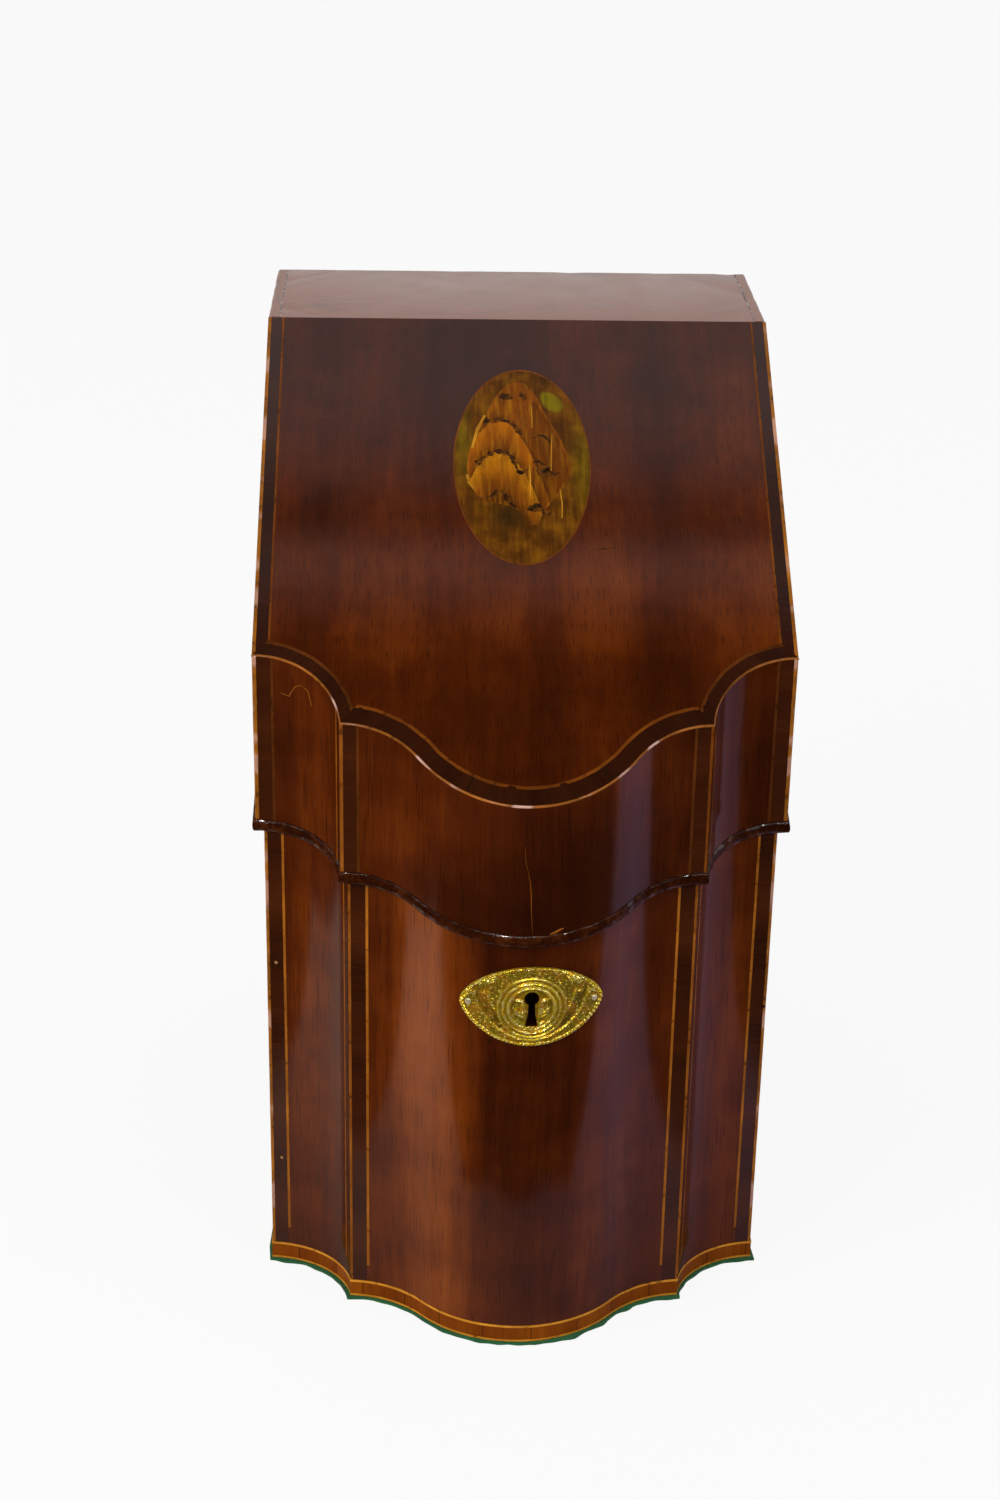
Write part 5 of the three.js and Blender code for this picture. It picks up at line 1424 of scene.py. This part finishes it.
ironFinish()
dressing = {
    "insideBoards": ["body_front", "lid_front"],
    "sideVeneer": ["body_side_left", "body_side_right", "lid_side_left", "lid_side_right"],
    "backBoards": ["body_back", "lid_back"],
    "trayBoard": ["cutlery_tray"],
    "carcasePine": ["base_board", "tray_ledge_back", "tray_ledge_left", "tray_ledge_right", "partition_left",
                    "partition_right"],
    "oldBrass": ["lock_case", "lock_bolt", "link_plate", "link_left", "link_right"],
    "oldIron": ["lock_screw_left", "lock_screw_right", "link_plate_screw_left", "link_plate_screw_right"],
}
for side in ("left", "right"):
    dressing["oldBrass"] += [f"hinge_{side}_{part}" for part in ("body_leaf", "pin", "lid_leaf")]
    dressing["oldIron"] += [f"hinge_{side}_{leaf}_screw_{i}" for leaf in ("body", "lid") for i in (1, 2)]
for finish, names in dressing.items():
    for name in names:
        for place in nodes[name].material_slots:
            place.material = finishes[finish]
print("CAD pieces finished")

# camera, floor and light; the camera looks at a point of the box, in mm as above, from a distance
cameraLook = {"focalPixels": 2651.0, "pictureHigh": 1500, "sensor": 36, "pitch": 24.238, "yaw": 1.950,
              "roll": 1.083, "distance": 1215.0, "targetX": -6.78, "targetY": -158.6, "targetZ": 215.94}


def placeCamera():
    pitch, yaw, roll = (math.radians(cameraLook[k]) for k in ("pitch", "yaw", "roll"))
    ahead = Vector((math.sin(yaw) * math.cos(pitch), math.cos(yaw) * math.cos(pitch), -math.sin(pitch)))
    right = Vector((math.cos(yaw), -math.sin(yaw), 0))
    up = right.cross(ahead)
    tiltedRight = math.cos(roll) * right + math.sin(roll) * up
    tiltedUp = -math.sin(roll) * right + math.cos(roll) * up
    target = Vector((cameraLook["targetX"], backFace + cameraLook["targetY"], cameraLook["targetZ"]))
    place = (target - cameraLook["distance"] * ahead) / 1000
    data = bpy.data.cameras.new("camera")
    data.sensor_fit = "AUTO"
    data.sensor_width = cameraLook["sensor"]
    data.lens = cameraLook["focalPixels"] / cameraLook["pictureHigh"] * cameraLook["sensor"]
    camera = placed("camera", data)
    turn = Matrix((tiltedRight, tiltedUp, -ahead)).transposed().to_4x4()
    camera.matrix_world = Matrix.Translation(place) @ turn
    bpy.context.scene.camera = camera


placeCamera()


def stagePlane(name, corners, finish, hidden=()):
    mesh = bpy.data.meshes.new(name)
    mesh.from_pydata(corners, [], [(0, 1, 2, 3)])
    mesh.materials.append(finishes[finish])
    plane = placed(name, mesh)
    for kind in hidden:
        setattr(plane, "visible_" + kind, False)


def levelPlane(name, half, near, far, z, finish, hidden=()):
    stagePlane(name, [(-half, near, z), (half, near, z), (half, far, z), (-half, far, z)], finish, hidden)


def uprightPlane(name, start, end, foot, top, finish, hidden):
    stagePlane(name, [(*start, foot), (*end, foot), (*end, top), (*start, top)], finish, hidden)


# mirrored: half width of the shading that polished wood sees on the floor
studio = {"white": 0.90, "world": 0.50, "mirrored": 0.30, "floor": 6}


def paleFloor():
    # polished wood sees the floor dimmer than the camera does, warm on the left and cool on the right
    f = Finish("paleFloor")
    pale = f.mix((0.86, 0.86, 0.86), (0.88, 0.88, 0.87), f.grit(f.place(), 3.0))
    across = (f.parts(f.place())[0] / (2 * studio["mirrored"]) + 0.5).clamped()
    dim = f.ramp(across, [(0.05, (0.74, 0.57, 0.50)), (0.42, (0.30, 0.27, 0.26)), (0.55, (0.26, 0.22, 0.26)),
                          (0.90, (0.50, 0.35, 0.56))])
    f.give(Base_Color=f.mix(pale, dim, f.ray("Glossy")), Roughness=0.9)
    glow = f.add("ShaderNodeEmission", {}, {"Color": (1.0, 1.0, 1.0), "Strength": 1.0})
    seen = (f.ray("Camera") * studio["white"]).maths("MAXIMUM", f.ray("Transmission"))
    blend = f.add("ShaderNodeMixShader", {}, {0: seen, 1: Wire(f, f.shader.outputs[0]), 2: glow})
    f.feed(f.tree.nodes["Material Output"].inputs[0], blend)


paleFloor()
levelPlane("floor", studio["floor"], -studio["floor"], studio["floor"], 0, "paleFloor")

# cards that only the polish mirrors, in metres
cards = {"front": {"plan": [(-0.60, -0.225), (-0.12, -0.225), (-0.06, -0.265), (0.06, -0.265),
                            (0.12, -0.225), (0.60, -0.225)],
                   "middleHalf": 0.12, "middleFoot": 0.002, "foot": 0.015, "top": 0.28},
         "side": {"x": -0.42, "near": -0.80, "far": 0.30, "foot": 0.002, "top": 0.30},
         "ceiling": {"z": 0.65, "half": 0.45, "near": -0.40, "far": 0.20,
                     "shades": [(-0.045, 0.0), (-0.030, 0.16), (-0.012, 0.44), (0.000, 0.36), (0.008, 0.08),
                                (0.016, 0.03), (0.025, 0.10), (0.042, 0.33), (0.066, 0.52), (0.095, 0.60)]},
         "hidden": ("camera", "diffuse", "shadow", "transmission", "volume_scatter")}


def cardFinish(name, card=None):
    # a matt dark card, or one that glows in steps along y
    f = Finish(name)
    dark = f.mix((0.004, 0.004, 0.004), (0.006, 0.005, 0.005), f.grit(f.place(), 4.0))
    f.give(Base_Color=dark, Roughness=0.95)
    if card:
        near, deep = card["near"], card["far"] - card["near"]
        stops = [((y - near) / deep, (v, v * 0.93, v * 0.94)) for y, v in card["shades"]]
        f.give(Emission_Color=f.ramp((f.parts(f.place())[1] - near) / deep, stops), Emission_Strength=1.0)


def placeCards():
    front, side, ceiling, hidden = (cards[k] for k in ("front", "side", "ceiling", "hidden"))
    cardFinish("darkCard")
    cardFinish("ceilingCard", ceiling)
    for i, (start, end) in enumerate(zip(front["plan"], front["plan"][1:])):
        atSide = max(abs(start[0]), abs(end[0])) > front["middleHalf"]
        uprightPlane(f"frontCard{i + 1}", start, end, front["foot" if atSide else "middleFoot"], front["top"],
                     "darkCard", hidden)
    uprightPlane("sideCard", (side["x"], side["near"]), (side["x"], side["far"]), side["foot"], side["top"],
                 "darkCard", hidden)
    levelPlane("ceilingCard", ceiling["half"], ceiling["near"], ceiling["far"], ceiling["z"], "ceilingCard",
               hidden)


placeCards()

# lamps: place, aim, size, power, colour, and whether only the polish sees it
lamps = {
    "leftSoftbox": ((-1.2, -0.9, 1.0), (0, 0, 0.2), (0.9, 0.9), 15.0, (1.0, 0.95, 0.88), False),
    "rightSoftbox": ((1.2, -0.8, 1.1), (0, 0, 0.2), (0.9, 0.9), 5.0, (0.90, 0.94, 1.0), False),
    "leftHighlight": ((-0.25, -1.16, 1.17), (0, -0.1, 0.2), (0.14, 0.09), 7.0, (1, 1, 1), True),
    "rightHighlight": ((0.55, -1.05, 1.10), (0, -0.1, 0.2), (0.10, 0.07), 2.2, (1, 1, 1), True),
}
for name, (place, aim, size, power, colour, glossy) in lamps.items():
    data = bpy.data.lights.new(name, "AREA")
    data.shape = "RECTANGLE"
    data.size, data.size_y = size
    data.energy = power
    data.color = colour
    lamp = placed(name, data)
    lamp.location = place
    lamp.rotation_mode = "QUATERNION"
    lamp.rotation_quaternion = (Vector(aim) - Vector(place)).to_track_quat("-Z", "Y")
    lamp.visible_glossy = glossy
    lamp.visible_diffuse = not glossy


def whiteWorld():
    world = bpy.data.worlds.new("whiteWorld")
    bpy.context.scene.world = world
    world.use_nodes = True
    f = Finish("whiteWorld", world.node_tree)
    seen = f.ray("Camera").maths("MAXIMUM", f.ray("Glossy")).maths("MAXIMUM", f.ray("Transmission"))
    f.give(Color=(1.0, 1.0, 1.0), Strength=seen * (1 - studio["world"]) + studio["world"])


whiteWorld()
bpy.context.scene.view_settings.view_transform = "Standard"
print("camera and light ready")
